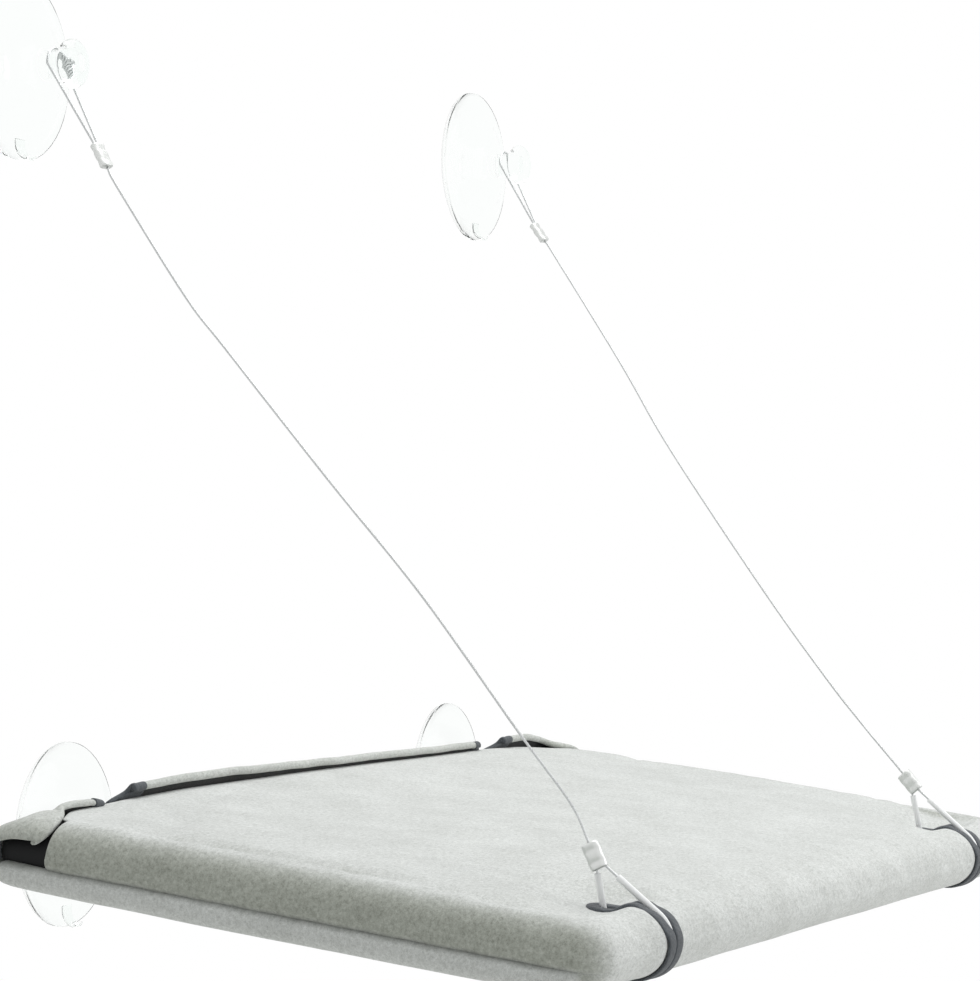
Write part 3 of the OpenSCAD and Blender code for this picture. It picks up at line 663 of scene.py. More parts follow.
# sleeve over each lower eye, with an open bore: the room side's leg stays bare for longer
sleeve = {"outerR": 1.5, "borePlay": 0.12, "sides": 16, "step": 1.2, "gap": 1.5, "bareWire": 8}
ferruleEnd = ferrule["length"] / 2
for name in routes:
    path = resample(lowerEyePath(name, ferruleEnd + sleeve["gap"], ferruleEnd + sleeve["bareWire"]),
                    sleeve["step"] * mm)[0]
    radii = (sleeve["outerR"], cable["diameter"] / 2 + sleeve["borePlay"])
    walls = [circle(r * mm, sleeve["sides"]) for r in radii]
    rings = frames(path)
    last = len(path) - 1

    def placeSleeve(i, j):  # along the outside, then back through the bore
        k = min(max(i - 1, 0), 2 * last + 1)
        p, _, side, up = rings[k if k <= last else 2 * last + 1 - k]
        u, v = walls[k > last][j % sleeve["sides"]]
        return p + side * u + up * v
    bm = bmesh.new()
    gridPatch(bm, 2 * last + 3, sleeve["sides"], placeSleeve, looped=True)
    bmesh.ops.remove_doubles(bm, verts=bm.verts, dist=mergeDist)
    bmesh.ops.recalc_face_normals(bm, faces=bm.faces)
    finish("clearSleeve_" + name, bm, sleevePvc, "perch", ["eye_sleeve_" + name], "clear_sleeve")

for name, line in lines.items():
    for kind, end, after, wideDir, body in (("upper", line[0], line[1], (1, 0, 0), "window_mount"),
                                            ("lower", line[-1], line[-2], (0, 1, 0), "perch")):
        makeFerrule(f"pressedFerrule_{kind}_{name}", ferruleMiddle(end, after), (end - after).normalized(),
                    Vector(wideDir), f"{kind}_ferrule_{name}", body)
print("cables, eyes, sleeves and ferrules made")

# suction cups
cup = {"radius": 43, "dome": 14, "lip": 1.4, "seal": 7, "rimR": 0.7, "hollow": 2,
       "hollowAt": [(0, 1), (12, 0.95), (24, 0.75)], "headR": 11.2, "headT": 7, "headDimple": 0.7,
       "shoulder": 2, "domeSteps": 14, "headSteps": 10, "segments": 96}
# curled tongue at the lower rim: places along its middle, then half its width and thickness
tongue = {"line": [(-0.9, -33), (-1.6, -37), (-3.6, -40.5), (-6.6, -42.4), (-8.6, -41.3)], "wide": 4.2,
          "thick": 0.75, "steps": 5, "sides": 20, "tip": 0.72, "tipFrom": 0.6}


def cupProfile():
    wide, neck = cup["radius"], perch["cupNeckR"]
    points = [(r, cup["hollow"] * share) for r, share in cup["hollowAt"]]
    points += [(wide - cup["seal"], 0.05), (wide - cup["rimR"], 0), (wide, 0.5)]
    for k in range(cup["domeSteps"] + 1):
        r = min(mix(wide, neck, k / cup["domeSteps"]), wide - 0.05)
        rise = (1 + math.cos(math.pi * (r - neck) / (wide - neck))) / 2
        points.append((r, mix(cup["lip"], cup["dome"], rise)))
    middle, roundR = perch["standOff"], cup["headT"] / 2
    points += [(neck, cup["dome"] + cup["shoulder"]), (neck, middle - roundR - 1)]
    for k in range(cup["headSteps"] + 1):
        a = math.pi * (k / cup["headSteps"] - 0.5)
        points.append((cup["headR"] - roundR + roundR * math.cos(a), middle + roundR * math.sin(a)))
    top = middle + roundR
    return points + [(4, top), (3, top - cup["headDimple"] + 0.1), (0, top - cup["headDimple"])]


def tongueOutline(u):
    narrow = mix(1, tongue["tip"], ease((u - tongue["tipFrom"]) / (1 - tongue["tipFrom"])))
    return [(v * tongue["thick"] * mm, math.copysign(abs(u) ** 0.6, u) * tongue["wide"] * narrow * mm)
            for u, v in circle(1, tongue["sides"])]


def makeCup(name, x, z, node):
    bm = bmesh.new()
    chain = [bm.verts.new(Vector((r, -y, 0)) * mm) for r, y in cupProfile()]
    edges = [bm.edges.new(pair) for pair in zip(chain, chain[1:])]
    bmesh.ops.spin(bm, geom=chain + edges, cent=(0, 0, 0), axis=(0, 1, 0), angle=2 * math.pi,
                   steps=cup["segments"], use_merge=True, use_duplicate=False)
    bmesh.ops.remove_doubles(bm, verts=bm.verts, dist=mergeDist)
    middle = [Vector((0, y, z)) * mm for y, z in tongue["line"]]
    sweep(bm, smoothCurve(middle, tongue["steps"]), tongueOutline)
    bmesh.ops.translate(bm, verts=bm.verts, vec=Vector((x, 0, z)) * mm)
    bmesh.ops.recalc_face_normals(bm, faces=bm.faces)
    finish(name, bm, clearPvc, "window_mount", [node], "clear_cup")


for side, label in ((-1, "left"), (1, "right")):
    makeCup("clearCup_lower_" + label, side * perch["lowerCupX"], 0, "lower_cup_" + label)
    makeCup("clearCup_upper_" + label, side * perch["upperCupX"], perch["upperCupZ"], "upper_cup_" + label)
print("cups made")

# the frame keeps its CAD solids, given their real finishes
facetAngle = 30
corners = [f"{place}_corner_{side}" for place in ("back", "front") for side in ("left", "right")]
dressed = {tubeSteel: ["back_tube", "front_tube", "left_tube", "right_tube"], cornerPlastic: corners}
for material, names in dressed.items():
    for name in names:
        part = nodes[name]
        part.data.materials.clear()
        part.data.materials.append(material)
        part.data.polygons.foreach_set("use_smooth", [True] * len(part.data.polygons))
        part.modifiers.new("Weld", "WELD").merge_threshold = mergeDist
        part.modifiers.new("Split", "EDGE_SPLIT").split_angle = math.radians(facetAngle)
print("frame dressed")

# cover
cover = {"topRoll": 14, "seam": -5.0, "seamRoll": 4.5, "seamInset": 6.2, "lowerRoll": 5.2, "cornerR": 18,
         "rimShare": 0.55, "crownHalf": 283, "liftFade": 80, "backBlend": 60, "underFlare": 0.012,
         "step": 6.0, "arc": 8, "wrapRows": 7, "bindHalf": 5.4, "holeTip": 7.2,
         "dip": 7.0, "dipAt": 251, "dipRoom": 0.8, "cornerRoom": 1.4,
         "broad": 75, "fine": 24, "wrinkle": 0.42, "pucker": 0.45, "puckerStep": 3.6}
# a short cloth simulation gives the soft swells: the cap on a swell, the first slack, and the settings
swell = {"cap": 2.6, "slack": 2.0, "steps": 20,
         "settings": {"quality": 6, "mass": 0.2, "tension_stiffness": 20, "compression_stiffness": 12,
                      "shear_stiffness": 6, "bending_stiffness": 0.6, "use_pressure": True,
                      "uniform_pressure_force": 4, "shrink_min": -0.012, "vertex_group_mass": "pins"}}
# how much the wadding lifts or leaves the top panel's back edge, along the window
backLift = [(-262, -0.6), (-240, -0.4), (-215, 0.4), (-195, 1.4), (-150, 2.7), (0, 3.4), (60, 3.1),
            (120, 2.7), (190, 2.6), (230, 1.6), (262, -0.2)]


def depthShare(depth):
    u = min(max(depth / perch["reach"], 0), 1)
    return 1 - abs(2 * u - 1) ** 3


def topHeight(x, depth):
    across = 1 - min(abs(x) / cover["crownHalf"], 1) ** 4
    crown = perch["topCrown"] * depthShare(depth) * mix(cover["rimShare"], 1, across)
    return perch["edgeR"] + crown + alongTable(backLift, x)[0] * (1 - ease(depth / cover["liftFade"]))


def underHeight(x, depth):
    return -perch["edgeR"] - perch["underCrown"] * depthShare(depth)


def frameTop(x, depth):  # highest point of the tubes and corner pieces under a place on the cover
    r = perch["tubeR"]
    return max(math.sqrt(max(0, r * r - off * off)) for off in (depth - perch["reach"], abs(x) - half + r))


def sink(x, depth, height):  # the loops of wire draw the top down at the slits, as far as the frame lets it
    if height <= 0:
        return 0
    out = abs(x) - perch["slitX"]
    across = math.exp(-(out / (60 if out > 0 else 22)) ** 2)
    along = math.exp(-((depth - cover["dipAt"]) / (30 if depth < cover["dipAt"] else 21)) ** 2)
    room = cover["dipRoom"] + cover["cornerRoom"] * ease((abs(x) - 240) / 25)
    return max(0, min(cover["dip"] * across * along * ease(height / 10), height - frameTop(x, depth) - room))


def sideRows(depth):  # side section from the top rim to the bottom rim: inset from the side, height
    rim = perch["edgeR"] + perch["topCrown"] * depthShare(depth) * cover["rimShare"]
    big, seam, small, low = cover["topRoll"], cover["seam"], cover["seamRoll"], underHeight(0, depth)
    turns = [math.radians(15 * k) for k in range(7)]
    rows = [(big * (1 - math.sin(a)), rim - big * (1 - math.cos(a))) for a in turns]
    rows += [(0, mix(rim - big, seam + small, 0.5)), (0, seam + small)]
    turns = [math.radians(30 * k) for k in (1, 2, 3)]
    rows += [(small * (1 - math.cos(a)), seam + small - small * math.sin(a)) for a in turns]
    rows.append((cover["seamInset"], seam - 0.5))
    r = (seam - low) / 2
    turns = [math.radians(a) for a in (62, 40, 18, -5, -28, -50, -70, -90)]
    return rows + [(cover["lowerRoll"] * (1 - math.cos(a)), seam - r + r * math.sin(a)) for a in turns]


def frontRows(depth):  # the same rows where the cloth wraps the round front tube
    r = perch["edgeR"]
    shares = [min(max(height / r, -1), 1) for _, height in sideRows(depth)]
    out = [(r * (1 - math.sqrt(max(0, 1 - s * s))), r * s) for s in shares]
    return [(r, r)] + out[1:-1] + [(r, -r)]


frontDepth = perch["reach"] + perch["edgeR"]
flatHalf = half - cover["cornerR"]
holeDepth = slitTip + cover["holeTip"]
slitLines = [perch["slitX"] - cover["bindHalf"], perch["slitX"] + cover["bindHalf"]]
xs = spread([-flatHalf, -slitLines[1], -slitLines[0], slitLines[0], slitLines[1], flatHalf], cover["step"])
depths = spread([0, holeDepth, frontDepth - cover["cornerR"]], cover["step"])
halfArc = cover["arc"] // 2
columns, straightRows = len(xs) - 1 + 2 * halfArc, len(depths) - 1
rows = straightRows + halfArc
levels = len(sideRows(0))
seamLevel = 12  # the row that lies in the seam


def backEdge(x):  # the top panel ends on the back tube, and is drawn forward over the side roll
    return mix(-1.5, 18, ease((abs(x) - 240) / 57))


def wrinkle(x, depth, height):  # soft unevenness of the cloth over the wadding, in mm
    p = Vector((x, depth, height))
    return (noise.noise(p / cover["broad"] + Vector((3.1, 0.7, 0))) * 0.9
            + noise.noise(p / cover["fine"] + Vector((0, 9.2, 4))) * 0.3)


def stations():  # places round the wall: side, depth, the way out, and the share of the turn to the front
    def corner(side, k):
        a, r = math.radians(90 * k / cover["arc"]), cover["cornerR"]
        return (side * (flatHalf + r * math.cos(a)), frontDepth - r * (1 - math.sin(a)), side * math.cos(a),
                math.sin(a), k / cover["arc"])
    out = [(-half, d, -1, 0, 0) for d in depths] + [corner(-1, k) for k in range(1, cover["arc"])]
    out += [(x, frontDepth, 0, 1, 1) for x in xs]
    out += [corner(1, k) for k in range(cover["arc"] - 1, 0, -1)]
    return out + [(half, d, 1, 0, 0) for d in reversed(depths)]


def wallPoint(station, level):
    x, depth, outX, outD, turn = station
    at = min(max(depth, 0), perch["reach"])
    inset, height = (mix(a, b, ease(turn)) for a, b in zip(sideRows(at)[level], frontRows(at)[level]))
    if outD == 0 and depth < cover["backBlend"]:  # the panels' own ends at the back corners
        if level < seamLevel:
            start = mix(18, 16.5, level / (seamLevel - 1))
        else:
            start = -9 * math.sin(math.pi * (level - seamLevel + 1) / (levels - seamLevel))
        depth = mix(start, cover["backBlend"], depth / cover["backBlend"])
    return Vector((x - outX * inset, depth - outD * inset, height))


loop = stations()
wall = [[wallPoint(s, level) for level in range(levels)] for s in loop]


def panelPoint(i, j, level, heightAt, backAt):  # top or bottom panel inside the rim
    def drawn(x, depth):  # the back edge's own curve fades out towards the front
        fade = cover["backBlend"]
        return mix(backAt(x), fade, depth / fade) if depth < fade else depth
    if i == 0:
        return wall[j][level]
    if i == columns:
        return wall[len(loop) - 1 - j][level]
    if j == rows:
        return wall[rows + i][level]
    if i > columns - halfArc:
        p = panelPoint(columns - i, j, level, heightAt, backAt)
        return Vector((-p.x, p.y, p.z))
    t = (j - straightRows) / halfArc
    if i >= halfArc:
        x = xs[i - halfArc]
        depth = drawn(x, depths[j]) if t <= 0 else mix(depths[-1], wall[rows + i][level].y, t)
        return Vector((x, depth, heightAt(x, depth)))
    s, edge, x = i / halfArc, wall[j][level], xs[0]
    if t <= 0:
        depth = mix(edge.y, drawn(x, depths[j]), s)
        return Vector((mix(edge.x, x, s), depth, mix(edge.z, heightAt(x, depth), s)))
    # the round corner is blended from its four sides
    sideX, tip, inDepth = wall[straightRows][level].x, wall[rows][level], wall[rows + halfArc][level].y
    p = (edge * (1 - s) + Vector((x, mix(depths[-1], inDepth, t), 0)) * s
         + Vector((mix(sideX, x, s), depths[-1], 0)) * (1 - t) + wall[rows + i][level] * t
         - Vector((sideX, depths[-1], 0)) * (1 - s) * (1 - t) - Vector((x, depths[-1], 0)) * s * (1 - t)
         - tip * (1 - s) * t - Vector((x, inDepth, 0)) * s * t)
    return Vector((p.x, p.y, heightAt(p.x, p.y)))


def underPoint(i, j):  # the bottom panel's back edge turns up round the back tube
    j -= cover["wrapRows"]
    if j >= 0:
        return panelPoint(i, j, levels - 1, underHeight, lambda x: 0)
    p = panelPoint(i, 0, levels - 1, underHeight, lambda x: 0)
    share, r = -j / cover["wrapRows"], perch["edgeR"]
    turn = math.radians(45) * share
    return Vector((p.x * (1 + cover["underFlare"] * ease(share)), -r * math.sin(turn), -r * math.cos(turn)))


bm = bmesh.new()
gridPatch(bm, columns, rows, lambda i, j: panelPoint(i, j, 0, topHeight, backEdge))
gridPatch(bm, len(loop) - 1, levels - 1, lambda i, j: wall[i][j])
gridPatch(bm, columns, rows + cover["wrapRows"], underPoint)
bmesh.ops.remove_doubles(bm, verts=bm.verts, dist=0.02)
slits = [f for f in bm.faces if f.calc_center_median().y > holeDepth
         and slitLines[0] < abs(f.calc_center_median().x) < slitLines[1]]
bmesh.ops.delete(bm, geom=slits, context="FACES")
bmesh.ops.recalc_face_normals(bm, faces=bm.faces)
bm.normal_update()
if max(bm.faces, key=lambda f: f.calc_center_median().z).normal.z < 0:
    bmesh.ops.reverse_faces(bm, faces=bm.faces)
    bm.normal_update()
uneven = []
for v in bm.verts:
    x, depth, height = v.co
    near = (abs(abs(x) - perch["slitX"]) - cover["bindHalf"]) / 12 if depth > holeDepth - 12 else 1
    free = ease(near) * ease((depth + 1) / 12)
    push = wrinkle(x, depth, height) * cover["wrinkle"] * free
    if abs(x) > half - 8 and height < 4 and depth < perch["reach"]:  # puckers along the sewn side seam
        push += (cover["pucker"] * free * math.exp(-((height - cover["seam"]) / 4) ** 2)
                 * math.sin(depth / cover["puckerStep"] + 2 * noise.noise(Vector((depth / 30, x, 0)))))
    uneven.append(v.co + v.normal * push)
for v, spot in zip(bm.verts, uneven):
    v.co = onPerch(spot.x, spot.y, spot.z - sink(*spot))
bmesh.ops.reverse_faces(bm, faces=bm.faces)  # the perch's own measures are a mirror image of the room's


def pinShare(spot):  # 1 holds the cloth: seam, slit edges and back; the rolls on the tubes give a little
    x, d, h = offPerch(spot)
    slit = abs(abs(x) - perch["slitX"]) - cover["bindHalf"]
    firm = max(1 - ease((d - 12 - 30 * ease((abs(x) - 215) / 25)) / 20),
               1 - ease((slit - 6) / 16) if d > holeDepth - 24 else 0,
               1 - ease((abs(h - cover["seam"]) - 2) / 7) if abs(x) > half - 16 or d > perch["reach"] else 0)
    edge = 1 - ease((min(half - abs(x), frontDepth - d) - 8) / 20)
    return min(1, max(firm, (0.9 if h < cover["seam"] else 0.4) * edge))


def swollen(bm):  # the cloth under air pressure, as a stuffed cover's
    bm.normal_update()
    for v in bm.verts:
        v.co -= v.normal * (1 - pinShare(v.co)) * swell["slack"] * mm
    mesh = bpy.data.meshes.new("clothDraft")
    bm.to_mesh(mesh)
    draft = bpy.data.objects.new("clothDraft", mesh)
    stage = bpy.context.scene
    stage.collection.objects.link(draft)
    pins = draft.vertex_groups.new(name="pins")
    for v in mesh.vertices:
        pins.add([v.index], pinShare(v.co), "REPLACE")
    cloth = draft.modifiers.new("Cloth", "CLOTH")
    for key, value in swell["settings"].items():
        setattr(cloth.settings, key, value)
    cloth.collision_settings.use_collision = False
    cloth.settings.effector_weights.gravity = 0
    cloth.point_cache.frame_start, cloth.point_cache.frame_end = 1, swell["steps"]
    for frameNumber in range(1, swell["steps"] + 1):
        stage.frame_set(frameNumber)
        shape = draft.evaluated_get(bpy.context.evaluated_depsgraph_get()).to_mesh()
        spots = [v.co.copy() for v in shape.vertices]
    stage.frame_set(1)
    moves = [spot - v.co for v, spot in zip(bm.verts, spots)]
    for v, move in zip(bm.verts, moves):
        v.co += move * min(1, swell["cap"] * mm / max(move.length, mergeDist))
    bpy.data.objects.remove(draft)
    bpy.data.meshes.remove(mesh)
    print("cloth settled, farthest move before the cap:", round(max(m.length for m in moves) / mm, 1), "mm")


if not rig.quick():
    swollen(bm)
for layer in ("nap", "crease"):
    bm.verts.layers.float.new(layer)
nap, crease = (bm.verts.layers.float[layer] for layer in ("nap", "crease"))
bm.normal_update()
for v in bm.verts:
    x, depth, height = offPerch(v.co)
    onSide = abs(x) > half - 16
    under = onSide and height < cover["seam"] - 0.5 and v.normal.y > -0.5
    # painted shade: faces turned to the side take the darker tones; the lower roll below the seam takes only a little
    # of them
    v[nap] = 0.12 if under else ease((abs(v.normal.x) - 0.02) / 0.95)
    # painted shade along the sewn seam's groove on the side walls, fading out towards the front
    pressed = math.exp(-((height - cover["seam"] + 0.4) / 1.5) ** 2) * (1 - ease((depth - 262) / 16))
    v[crease] = pressed if onSide else 0
coverPiece = finish("fleeceCover", bm, microsuede, "perch", ["cover_top", "cover_bottom"], "fleece",
                    clothWall(perch["fleece"], offset=1))
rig.padded(coverPiece, fill=0.7)
print("cover made:", len(coverPiece.data.polygons), "faces")

# wadding inside the cover
wadding = {"across": 60, "along": 30, "play": 0.3, "topPlay": 2.2, "underPlay": 0.6, "rimShare": 0.55,
           "rimAcross": 30, "rimAlong": 24}


def paddingPoint(i, j, top):
    u, v = i / wadding["across"] * 2 - 1, j / wadding["along"]
    inner = perch["tubeR"] + wadding["play"]
    x, depth = u * (half - perch["edgeR"] - inner), mix(inner, slitTip - wadding["play"], v)
    rim = max(0, 1 - (1 - abs(u)) * wadding["rimAcross"], 1 - min(v, 1 - v) * wadding["rimAlong"])
    lift = math.sqrt(max(0, 1 - rim ** 2))
    crest = topHeight(x, depth)
    level = underHeight(x, depth) + perch["fleece"] + wadding["underPlay"]
    if top:
        level = crest - sink(x, depth, crest) - perch["fleece"] - wadding["topPlay"]
    return onPerch(x, depth, level * mix(wadding["rimShare"], 1, lift))


bm = bmesh.new()
for top in (True, False):
    gridPatch(bm, wadding["across"], wadding["along"], lambda i, j: paddingPoint(i, j, top))
bmesh.ops.bridge_loops(bm, edges=[e for e in bm.edges if e.is_boundary])
bmesh.ops.recalc_face_normals(bm, faces=bm.faces)
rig.padded(finish("waddingPad", bm, foam, "perch", ["pad"], "pad_foam"), fill=0.9)
print("pad made")

# back flap: round the tube's window side, up and over into a rolled hem
flap = {"start": -45, "end": 62, "wrapSteps": 14, "webSteps": 5, "hem": (1.5, 21.5), "hemR": 1.1,
        "hemFrom": 140, "hemTurn": 26, "hemSteps": 12, "gapHalf": 8, "tape": 3.4, "step": 4.5,
        "slipReach": 34, "freeFrom": 8, "drapeFrom": 262, "drapeEnd": 302.5, "turnFrom": 290, "turnR": 8,
        "bulge": 4.2, "swing": 95}
fasteningStrip = {"thick": 0.9, "play": 0.45, "rows": 4, "loopHalf": 281, "loopWide": 12, "loopThick": 0.8,
                  "loopSteps": 90, "loopPlay": 0.55}
wrapMid = perch["wrapR"] + perch["fleece"] / 2
gapEdge = flap["gapHalf"] + flap["tape"]
flapEnds = {"left": (-flap["drapeEnd"], -perch["lowerCupX"] - gapEdge),
            "middle": (-perch["lowerCupX"] + gapEdge, perch["lowerCupX"] - gapEdge),
            "right": (perch["lowerCupX"] + gapEdge, flap["drapeEnd"])}
# height of the lip along the window, as it stands in the photo
lipTops = {
    "left": [(-264, 18.6), (-257, 19.4), (-250, 19.9), (-230, 19.8), (-222, 19.1), (-214, 18.2)],
    "middle": [(-200, 24.0), (-183, 25.0), (-166, 25.9), (-150, 26.3), (-97, 26.5), (-60, 26.0), (-2, 25.4),
               (39, 25.2), (82, 24.6), (126, 24.2), (149, 24.4), (196, 23.6)],
    "right": [(205, 23.4), (220, 24.8), (245, 24.7), (262, 22.0)]}
# the lip's corner hangs over the side: span along the cloth, then side, depth and height of the hem's middle
lipDrape = [(270, 269, 7, 16.2), (278, 277, 11, 15.4), (285, 284.5, 14, 14.4), (292, 290.5, 15, 12),
            (298, 294.5, 13.6, 8.8), (302.5, 296.4, 10.5, 6)]
# how far each bound end slips along the window: at the hem and where it leaves the tube
endSlips = {"left": {-212.5: (-15, -11)}, "middle": {-196.5: (-3, -16), 196.5: (-20, -8)},
            "right": {212.5: (-4, -24)}}


def flapLine():  # section of the flap's middle: depth and height
    def onArc(cx, cy, r, degrees):
        return cx + r * math.cos(math.radians(degrees)), cy + r * math.sin(math.radians(degrees))
    # round the tube, straight up as the web, then round the hem
    points = [onArc(0, 0, wrapMid, 180 - mix(flap["start"], flap["end"], k / flap["wrapSteps"]))
              for k in range(flap["wrapSteps"] + 1)]
    hem = [onArc(*flap["hem"], flap["hemR"], flap["hemFrom"] - flap["hemTurn"] * k)
           for k in range(flap["hemSteps"] + 1)]
    web = [[mix(a, b, k / flap["webSteps"]) for a, b in zip(points[-1], hem[0])]
           for k in range(1, flap["webSteps"])]
    return points + web + hem


section = flapLine()
webFrom, hemFrom = flap["wrapSteps"], flap["wrapSteps"] + flap["webSteps"]


def alongSection(first, last):  # length of cloth between two points of the section, in metres
    return sum(math.dist(section[k], section[k + 1]) for k in range(first, last)) * mm


def onSection(k):
    low = min(int(k), len(section) - 2)
    return [mix(a, b, k - low) for a, b in zip(section[low], section[low + 1])]


def flapRegular(x, k):  # a place on the cloth before any drape: side, depth and height
    d, h = onSection(k)
    part = "left" if x < -perch["lowerCupX"] else "right" if x > perch["lowerCupX"] else "middle"
    base = flap["freeFrom"]
    free = ease((h - base) / 8)
    fullTop = flap["hem"][1] + flap["hemR"] + perch["fleece"] / 2
    h += (h - base) * free * ((alongTable(lipTops[part], x)[0] - base) / (fullTop - base) - 1)
    d += free * (1.1 * noise.noise(Vector((x / 46, 5.3, 0))) + 0.5 * noise.noise(Vector((x / 15, 1.3, 0))))
    h += free * 0.35 * noise.noise(Vector((x / 19, 0, 8.1)))
    for end, (hemSlip, webSlip) in endSlips[part].items():
        near = ease(1 - abs(x - end) / flap["slipReach"])
        x += near * ease((h - 9) / 4) * mix(webSlip, hemSlip, ease((h - 13) / 7))
    return x, d, h


def overEnd(x, d, h):  # the cloth's last part bends down over the perch's side
    over = max(0, abs(x) - flap["turnFrom"])
    a = min(over / flap["turnR"], math.pi / 2)
    drop = flap["turnR"] * (1 - math.cos(a)) + over - a * flap["turnR"]
    w = ease((h - 2) / 10)
    base = min(abs(x), flap["turnFrom"])
    reach = mix(base + over * 0.44, base + flap["turnR"] * math.sin(a), w)
    return Vector((math.copysign(reach, x), d, h - drop * w))


def flapMid(x, k):
    out = abs(x) - flap["drapeFrom"]
    if out <= 0:
        return Vector(flapRegular(x, k))
    if k <= webFrom:
        return overEnd(x, *flapRegular(x, k)[1:])
    p = out / (flap["drapeEnd"] - flap["drapeFrom"])
    _, hemD, hemH = flapRegular(math.copysign(flap["drapeFrom"], x), hemFrom)
    first = (flap["drapeFrom"], flap["drapeFrom"], hemD + flap["hem"][0] - section[hemFrom][0],
             hemH + flap["hem"][1] - section[hemFrom][1])
    side, depth, height = alongTable([first] + lipDrape, abs(x))
    lifted = 2.2 * (1 - p) * ease(out / 12) if x > 0 else 0
    hem = Vector((math.copysign(side, x), depth, height + lifted))
    if k < hemFrom:
        t = (k - webFrom) / (hemFrom - webFrom)
        spot = overEnd(*flapRegular(x, webFrom)).lerp(hem, t)
        spot.z += flap["bulge"] * ease(out / 14) * 4 * t * (1 - t) * (1 - 0.6 * p)
        spot.x += math.copysign(1.5 * p * 4 * t * (1 - t), x)
        return spot
    turn = math.radians(flap["swing"]) * ease(p)
    d, h = (a - b for a, b in zip(onSection(k), flap["hem"]))
    return hem + Vector((0, d * math.cos(turn) + h * math.sin(turn), h * math.cos(turn) - d * math.sin(turn)))


def flapNormal(x, k):  # points away from the room side
    k = min(max(k, 0.2), len(section) - 1.2)
    along = flapMid(x + 0.4, k) - flapMid(x - 0.4, k)
    return along.cross(flapMid(x, k + 0.2) - flapMid(x, k - 0.2)).normalized()


for name, (a, b) in flapEnds.items():
    steps = max(4, round((b - a) / flap["step"]))
    bm = bmesh.new()
    gridPatch(bm, steps, len(section) - 1, lambda i, j: onPerch(*flapMid(mix(a, b, i / steps), j)))
    bmesh.ops.recalc_face_normals(bm, faces=bm.faces)
    bm.normal_update()
    nap = bm.verts.layers.float.new("nap")
    for v in bm.verts:
        # painted shade: the flap takes a third of the darker tones all over, and more where it turns to the side
        v[nap] = 0.32 + 0.5 * ease(abs(v.normal.x) / 0.8)
    piece = finish("fleeceFlap_" + name, bm, microsuede, "perch", ["back_flap_" + name], "fleece_shade",
                   clothWall(perch["fleece"]))
    flapCut = ((b - a) * mm, round(alongSection(0, len(section) - 1), 4))
    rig.sheet(piece, flat=flapCut, held="folded", rests_on=["back_tube"])
    print("flap", name, "cut to", [round(c / mm, 1) for c in flapCut], "mm")

    def stripPoint(i, j):  # black fastening strip on the room side of the web
        x = mix(a, b, i / steps)
        top = hemFrom - 0.2 - 2 * ease((abs(x) - flap["drapeFrom"]) / 12)
        k = mix(webFrom - 0.4, top, j / fasteningStrip["rows"])
        return onPerch(*(flapMid(x, k) - flapNormal(x, k) * (perch["fleece"] / 2 + fasteningStrip["play"])))
    bm = bmesh.new()
    gridPatch(bm, steps, fasteningStrip["rows"], stripPoint)
    bmesh.ops.recalc_face_normals(bm, faces=bm.faces)
    strip = finish("hookStrip_" + name, bm, fastening, "perch", ["flap_strip_" + name], "black_strip",
                   clothWall(fasteningStrip["thick"]))
    stripCut = ((b - a) * mm, round(alongSection(webFrom, hemFrom), 4))
    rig.sheet(strip, flat=stripCut, held="laid", rests_on=[piece])


def loopPoint(i, j):  # the strip along the top panel's back edge
    x = mix(-fasteningStrip["loopHalf"], fasteningStrip["loopHalf"], i / fasteningStrip["loopSteps"])
    back, wide = max(0, backEdge(x)), fasteningStrip["loopWide"]
    return onPerch(x, mix(back + 1, wide + 0.5 + back, j / 3),
                   topHeight(x, mix(0.2, wide, j / 3)) + fasteningStrip["loopPlay"])


bm = bmesh.new()
gridPatch(bm, fasteningStrip["loopSteps"], 3, loopPoint)
strip = finish("loopStrip_panel", bm, fastening, "perch", ["panel_strip"], "black_strip",
               clothWall(fasteningStrip["loopThick"]))
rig.sheet(strip, flat=(2 * fasteningStrip["loopHalf"] * mm, fasteningStrip["loopWide"] * mm), held="laid",
         rests_on=[coverPiece])
print("flaps and strips made")

# bindings: tape folded over a cut edge
tape = {"width": flap["tape"], "gapWidth": 3.6, "gapThick": 2.7, "face": 12, "faceThick": 0.9, "faceIn": 1.5,
        "faceFrom": 0.6, "cap": 7, "capPlay": 0.35, "capSteps": 8, "capSides": 16, "sides": 14,
        "square": 0.55, "slitWidth": 7.4, "slitThick": 3.0, "open": 1.9, "shutPlay": 0.05, "shutThick": 0.56,
        "sleeveTop": 3.3, "clear": 0.95, "tip": 3, "step": 2.2, "uneven": 0.25, "grain": 9}


def tapeSection(width, thick):
    return [(math.copysign(abs(u) ** tape["square"], u) * width / 2,
             math.copysign(abs(v) ** tape["square"], v) * thick / 2) for u, v in circle(1, tape["sides"])]


def sweepOn(bm, spots, shape, closed=False):  # spots on the perch: middle, way out and share of thickness
    n = len(spots)

    def at(i, j):
        p, outward, share = spots[i % n]
        before = spots[(i - 1) % n if closed else max(i - 1, 0)][0]
        after = spots[(i + 1) % n if closed else min(i + 1, n - 1)][0]
        t = (after - before).normalized()
        out = (outward - t * outward.dot(t)).normalized()
        u, v = shape[j % len(shape)]
        return onPerch(*(p + t.cross(out) * u + out * v * share))
    new = gridPatch(bm, n if closed else n - 1, len(shape), at, looped=True)
    if not closed:
        closeEnds(bm, new)


